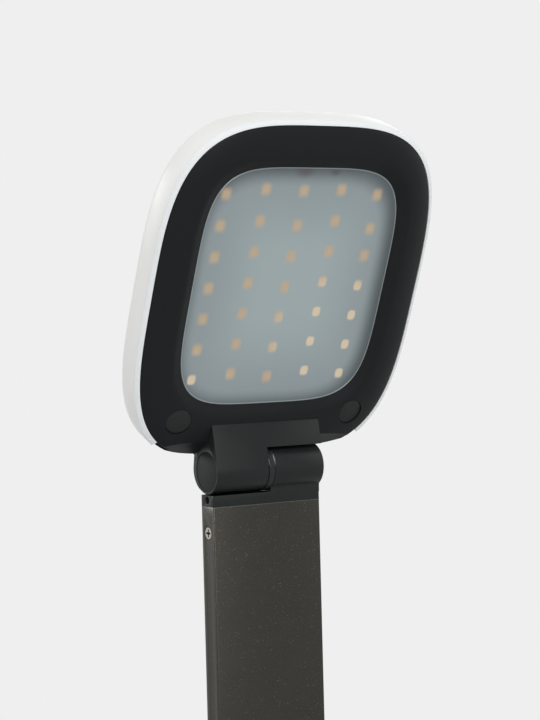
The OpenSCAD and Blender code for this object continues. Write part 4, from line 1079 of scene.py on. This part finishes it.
def flake_paint():
    material, shader, term, place = new_finish(
        "olive_grey_metallic_paint", shade(56, 55, 51), 0.30, Metallic=0.8, Specular_IOR_Level=0.2)
    cloud = noise(term, place, 7, 3)
    base = cloud.blend(shade(54, 53, 49), shade(58, 57, 53))

    def flakes(size, share):
        """1 on the few cells of about the given size whose random value is high."""
        settings = {"feature": "F1"}
        inputs = {"Vector": place, "Scale": 1 / (size * MM), "Randomness": 1.0}
        cell = term.node("ShaderNodeTexVoronoi", settings, inputs, out="Color")
        near = term.node("ShaderNodeTexVoronoi", settings, inputs, out="Distance")
        return (cell.part(0) > 1 - share) * near.ramp(0.15, 0.45, 1.0, 0.0)

    fine = noise(term, place, 0.22, 1)
    base = (fine.ramp(0.35, 0.75) * 0.14).blend(base, shade(84, 83, 77))
    base = (flakes(0.22, 0.05) * 0.3).blend(base, shade(132, 131, 122))
    base = (flakes(0.22, 0.014) * 0.7).blend(base, shade(168, 168, 158))
    # The lighter line under the top edge is bare metal at the sawn end and painted highlight.
    sawn_end_and_painted_highlight = (place.part(2) / MM).ramp(TUBE_TOP - 0.22, TUBE_TOP - 0.10)
    base = (sawn_end_and_painted_highlight * 0.3).blend(base, shade(130, 129, 122))
    feed(shader, "Base Color", base)
    feed(shader, "Roughness", fine.ramp(0.3, 0.7, 0.27, 0.34))
    relief(shader, term, fine, 0.01)
    return material


ARM_PAINT = flake_paint()
cast_copy("arm_tube", ARM_PAINT, "arm", "arm_paint", 0.08, crease=32)

# Base: a white ABS rim like the head's, closed by a crowned black cover above and a black
# plate below. The outline is the same kind of superellipse, swept by the same rule.
BASE_SIZE = (120.0, 150.0)
BASE_SQUARE = 4.0
BASE_RIM = 18.0
BASE_CROWN = 1.6
BASE_LIP = 1.8
BASE_ROUND = 1.4
PLATE_LEVEL = 1.6
PLATE_TOP = 3.6
SHELL_WALL = 3.2
COVER_EDGE = 1.7
COVER_WALL = 2.0


def base_ring(inset, level):
    return (BASE_SIZE[0] - 2 * inset, BASE_SIZE[1] - 2 * inset, BASE_SQUARE, 0.0, level)


def base_share(share, level, inset=0.0):
    return ((BASE_SIZE[0] - 2 * inset) * share, (BASE_SIZE[1] - 2 * inset) * share,
            BASE_SQUARE, 0.0, level)


def base_shell_profile():
    edge = 0.2
    foot = [base_ring(BASE_ROUND * (1 - math.sin(a)), PLATE_LEVEL + BASE_ROUND * (1 - math.cos(a)))
            for a in (math.radians(d) for d in range(0, 91, 15))]
    lip = [
        base_ring(0, BASE_RIM - 0.8 - edge), base_ring(0.3 * edge, BASE_RIM - 0.8 - 0.3 * edge),
        base_ring(edge, BASE_RIM - 0.8 + 0.4 * edge), base_ring(BASE_LIP - 1.6 * edge, BASE_RIM - 0.2 * edge),
        base_ring(BASE_LIP - 0.8 * edge, BASE_RIM), base_ring(BASE_LIP - 0.2 * edge, BASE_RIM - 0.2 * edge),
        base_ring(BASE_LIP, BASE_RIM - edge),
    ]
    ledge = BASE_RIM - COVER_EDGE
    inside = [base_ring(BASE_LIP, ledge), base_ring(SHELL_WALL, ledge), base_ring(SHELL_WALL, PLATE_TOP),
              base_ring(BASE_LIP, PLATE_TOP), base_ring(BASE_LIP, PLATE_LEVEL)]
    rings = foot + lip + inside
    return rings + [rings[0]]


def base_cover_profile():
    inset = BASE_LIP + 0.1
    edge = 0.3
    top = [base_share(max(s, POLE), BASE_RIM + BASE_CROWN, inset + 9) for s in (0, 0.5, 0.94)]
    crown = [base_ring(inset + 9 * f, BASE_RIM + BASE_CROWN * (1 - (1 - f) ** 2))
             for f in (1 - k / 12 for k in range(12))]
    side = [base_ring(inset + 0.25 * edge, BASE_RIM - 0.05), base_ring(inset, BASE_RIM - edge),
            base_ring(inset, BASE_RIM - COVER_EDGE), base_ring(inset + 6, BASE_RIM - COVER_EDGE)]
    under = BASE_RIM + BASE_CROWN - COVER_WALL
    return top + crown + side + [base_ring(inset + 6, under), base_share(POLE, under)]


def base_plate_profile():
    inset = BASE_LIP + 0.1
    return [base_share(POLE, PLATE_TOP), base_ring(inset + 0.2, PLATE_TOP), base_ring(inset, PLATE_TOP - 0.2),
            base_ring(inset, PLATE_LEVEL + 0.2), base_ring(inset + 0.2, PLATE_LEVEL),
            base_share(POLE, PLATE_LEVEL)]


SOCKET_LEVEL = 8.45
SOCKET_HOLE = (9.6, 3.9)


def rounded_bar(name, width, height, length, place):
    """A bar with round ends to its section, lying along its own z, for the inlet's opening."""
    half = width / 2 - height / 2
    turn = [math.radians(90 - 180 * k / 16) for k in range(17)]
    outline = [(half + height / 2 * math.cos(a), height / 2 * math.sin(a)) for a in turn]
    outline += [(-x, -y) for x, y in outline]
    return prism(name, [(x, y, 0) for x, y in outline], (0, 0, length), place)


BACK_WAY = Matrix.Rotation(-math.pi / 2, 4, "X")
shell = sweep("base_rim", base_shell_profile(), WHITE_ABS)
inlet = Matrix.Translation((0, 0.070, SOCKET_LEVEL * MM)) @ BACK_WAY
joined(shell, "DIFFERENCE", rounded_bar("inlet_hole", *SOCKET_HOLE, 8, inlet))
finished(shell, WHITE_ABS, "base", "gloss_white", "base_shell")

BASE_CORNERS = [(x, y) for x in (-40, 40) for y in (-55, 55)]
BLOCK_ROOM = (18.2, 41.4, 54.6)
BUTTON_AT = Matrix.Translation((0, -0.048, 0))
BUTTON_HOLE = 8.2
CONTROL_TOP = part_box("control_board")[1][2] / MM
CONTROL_SPOTS = [(x, y) for x in (-17, 17) for y in (-57, -39)]


def screw_post(piece, spot, post, bore):
    """A post for a screw. The post and its bore are each a radius and two levels, in millimetres."""
    place = Matrix.Translation((spot[0] * MM, spot[1] * MM, 0))
    joined(piece, "UNION", rod("post", *post, place, 32))
    joined(piece, "DIFFERENCE", rod("hole", *bore, place, 24))


cover = sweep("base_cover", base_cover_profile(), BLACK_ABS)
block_room = block("block_room", (-BLOCK_ROOM[0], BLOCK_ROOM[1], 0), (BLOCK_ROOM[0], BLOCK_ROOM[2], 30))
for spot in BASE_CORNERS:
    screw_post(cover, spot, (4, PLATE_TOP, BASE_RIM), (1.25, PLATE_TOP - 1, PLATE_TOP + 8))
for spot in CONTROL_SPOTS:
    screw_post(cover, spot, (2.4, CONTROL_TOP, BASE_RIM + BASE_CROWN - 1),
               (0.9, CONTROL_TOP - 1, CONTROL_TOP + 3.5))
joined(cover, "DIFFERENCE", block_room, rod("button_hole", BUTTON_HOLE, 0, 30, BUTTON_AT, 96))
finished(cover, BLACK_ABS, "base", "black_shell", "base_top_cover")

plate = sweep("base_plate", base_plate_profile(), BLACK_ABS)
for x, y in BASE_CORNERS:
    foot = Matrix.Translation((x * MM, y * MM, 0))
    joined(plate, "DIFFERENCE", rod("recess", 6.6, 0, PLATE_LEVEL + 0.6, foot, 48))
    joined(plate, "DIFFERENCE", rod("hole", 1.3, 0, 5, foot, 24))
POWER_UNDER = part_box("power_board")[0][2] / MM
POWER_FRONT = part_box("power_board")[0][1] / MM
for x in (-10, 10):
    screw_post(plate, (x, POWER_FRONT + 3), (2.2, PLATE_TOP - 0.5, POWER_UNDER),
               (0.8, PLATE_TOP - 0.4, POWER_UNDER + 2))
finished(plate, BLACK_ABS, "base", "black_shell", "base_bottom_plate")

# Ballast and boards: a zinc-plated steel plate, which the hinge block is screwed to, and two
# green boards, one of them with the switch. They keep the CAD shape.
ZINC_PLATE = plain_skin("zinc_plated_steel", shade(168, 170, 172), shade(150, 153, 157), 0.36, 5,
                        Metallic=1.0)
dress("base_weight", ZINC_PLATE)
SOLDER_MASK_GREEN = plain_skin("green_solder_mask", shade(24, 92, 52), shade(20, 80, 45), 0.3, 2)
dress("control_board", SOLDER_MASK_GREEN)
dress("power_board", SOLDER_MASK_GREEN)
SWITCH_BLACK = plain_skin("switch_nylon", shade(34, 34, 35), shade(40, 40, 41), 0.5, 1)
dress("switch_housing", SWITCH_BLACK)
dress("switch_plunger", WHITE_MOULDING)

# Feet: four soft black rubber discs with moulded round edges, glued into the recesses of
# the plate, over the base's screws.
cast_copy("rubber_feet", RUBBER, "base", "rubber", 0.35)

# Inlet: a USB-C socket, a drawn and tinned steel shell round the black tongue that carries
# the contacts. It sits on the power board, behind the opening in the rim.


def socket_metal():
    material, shader, term, place = new_finish("tin_plated_steel", shade(196, 196, 198), 0.3, Metallic=1.0)
    level = abs(place.part(2) / MM - SOCKET_LEVEL)
    across = abs(place.part(0) / MM)
    tongue = (level < 0.5) * (across < 3.5)
    tin = noise(term, place, 0.8, 3).blend(shade(200, 200, 202), shade(184, 184, 187))
    feed(shader, "Base Color", tongue.blend(tin, shade(24, 24, 25)))
    feed(shader, "Metallic", 1 - tongue)
    return material


cast_copy("usb_socket", socket_metal(), "base", "socket_steel", 0.03)

# Power button: a black ABS disc that slides in the hole of the cover, over the switch. It is
# dished for the finger and very finely textured.


def button_skin():
    material, shader, term, place = new_finish("button_satin_black", shade(44, 46, 46), 0.5)
    rub = noise(term, place, 5, 3)
    feed(shader, "Base Color", rub.blend(shade(42, 44, 44), shade(48, 50, 50)))
    relief(shader, term, noise(term, place, 0.18, 1), 0.01)
    return material


cast_copy("power_button", button_skin(), "button", "button_black", 0.25)

# Stage: a pale floor that fades into an even pale background, soft lamps in front, at the
# right and behind on both sides, and the camera where the photograph was taken from.
PALE = shade(239, 239, 239)
FLOOR_SIZE = 1.1


def pale_floor():
    material, shader, term, place = new_finish("pale_floor", PALE, 0.9, Specular_IOR_Level=0.0)
    flat = term.node("ShaderNodeVectorMath", {"operation": "LENGTH"}, {0: place}, out="Value")
    feed(shader, "Alpha", flat.ramp(0.28, 0.95, 1.0, 0.0))
    return material


floor = block("floor", (-FLOOR_SIZE / MM, -FLOOR_SIZE / MM, -2), (FLOOR_SIZE / MM, FLOOR_SIZE / MM, -0.02))
floor.data.materials.append(pale_floor())

world = bpy.data.worlds.new("studio")
world.use_nodes = True
bpy.context.scene.world = world
sky = Term(world.node_tree)
for node in list(world.node_tree.nodes):
    world.node_tree.nodes.remove(node)
seen = sky.node("ShaderNodeLightPath", out="Is Camera Ray")
for kind in ("Is Glossy Ray", "Is Transmission Ray"):
    seen = seen + sky.node("ShaderNodeLightPath", out=kind)
AMBIENT = 0.36
backdrop = sky.node("ShaderNodeBackground", {}, {"Color": PALE, "Strength": 1.0})
ambient = sky.node("ShaderNodeBackground", {}, {"Color": PALE, "Strength": AMBIENT})
surface = sky.node("ShaderNodeMixShader", {}, {0: seen > 0.5, 1: ambient, 2: backdrop})
sky.node("ShaderNodeOutputWorld", {}, {"Surface": surface})

AIM = Vector((0, 0.02, 0.30))


def soft_lamp(name, place, size, power):
    data = bpy.data.lights.new(name, "AREA")
    data.shape = "RECTANGLE"
    data.size, data.size_y = size
    data.energy = power
    lamp = bpy.data.objects.new(name, data)
    lamp.location = place
    lamp.rotation_euler = (Vector(place) - AIM).to_track_quat("Z", "Y").to_euler()
    bpy.context.scene.collection.objects.link(lamp)


soft_lamp("key", (-0.45, -1.3, 1.15), (0.8, 0.8), 16.0)
soft_lamp("front", (-0.2, -1.6, 0.8), (1.2, 1.0), 6.0)
soft_lamp("right", (1.5, -0.4, 0.9), (1.0, 1.2), 4.5)
soft_lamp("left_back", (-1.1, 1.4, 0.85), (0.6, 0.6), 13.5)
soft_lamp("right_back", (1.2, 1.2, 0.9), (1.0, 1.2), 4.0)

YAW = math.radians(31.71)
PITCH = math.radians(1.60)
ROLL = math.radians(-1.49)
HINGE_IN_VIEW = (-0.002877, -0.03149, 0.59095)
FOCAL_PIXELS = 2029.5
FRAME_HEIGHT = 720
SENSOR = 24.0

ahead = Vector((math.sin(YAW) * math.cos(PITCH), math.cos(YAW) * math.cos(PITCH), -math.sin(PITCH)))
level_right = Vector((math.cos(YAW), -math.sin(YAW), 0))
level_up = level_right.cross(ahead)
right = level_right * math.cos(ROLL) + level_up * math.sin(ROLL)
up = level_up * math.cos(ROLL) - level_right * math.sin(ROLL)
eye = HEAD_HINGE - right * HINGE_IN_VIEW[0] - up * HINGE_IN_VIEW[1] - ahead * HINGE_IN_VIEW[2]
camera_data = bpy.data.cameras.new("photo_view")
camera_data.sensor_fit = "VERTICAL"
camera_data.sensor_height = SENSOR
camera_data.lens = FOCAL_PIXELS * SENSOR / FRAME_HEIGHT
camera = bpy.data.objects.new("photo_view", camera_data)
camera.matrix_world = Matrix.Translation(eye) @ Matrix((right, up, -ahead)).transposed().to_4x4()
bpy.context.scene.collection.objects.link(camera)
bpy.context.scene.camera = camera
bpy.context.scene.view_settings.view_transform = "Standard"
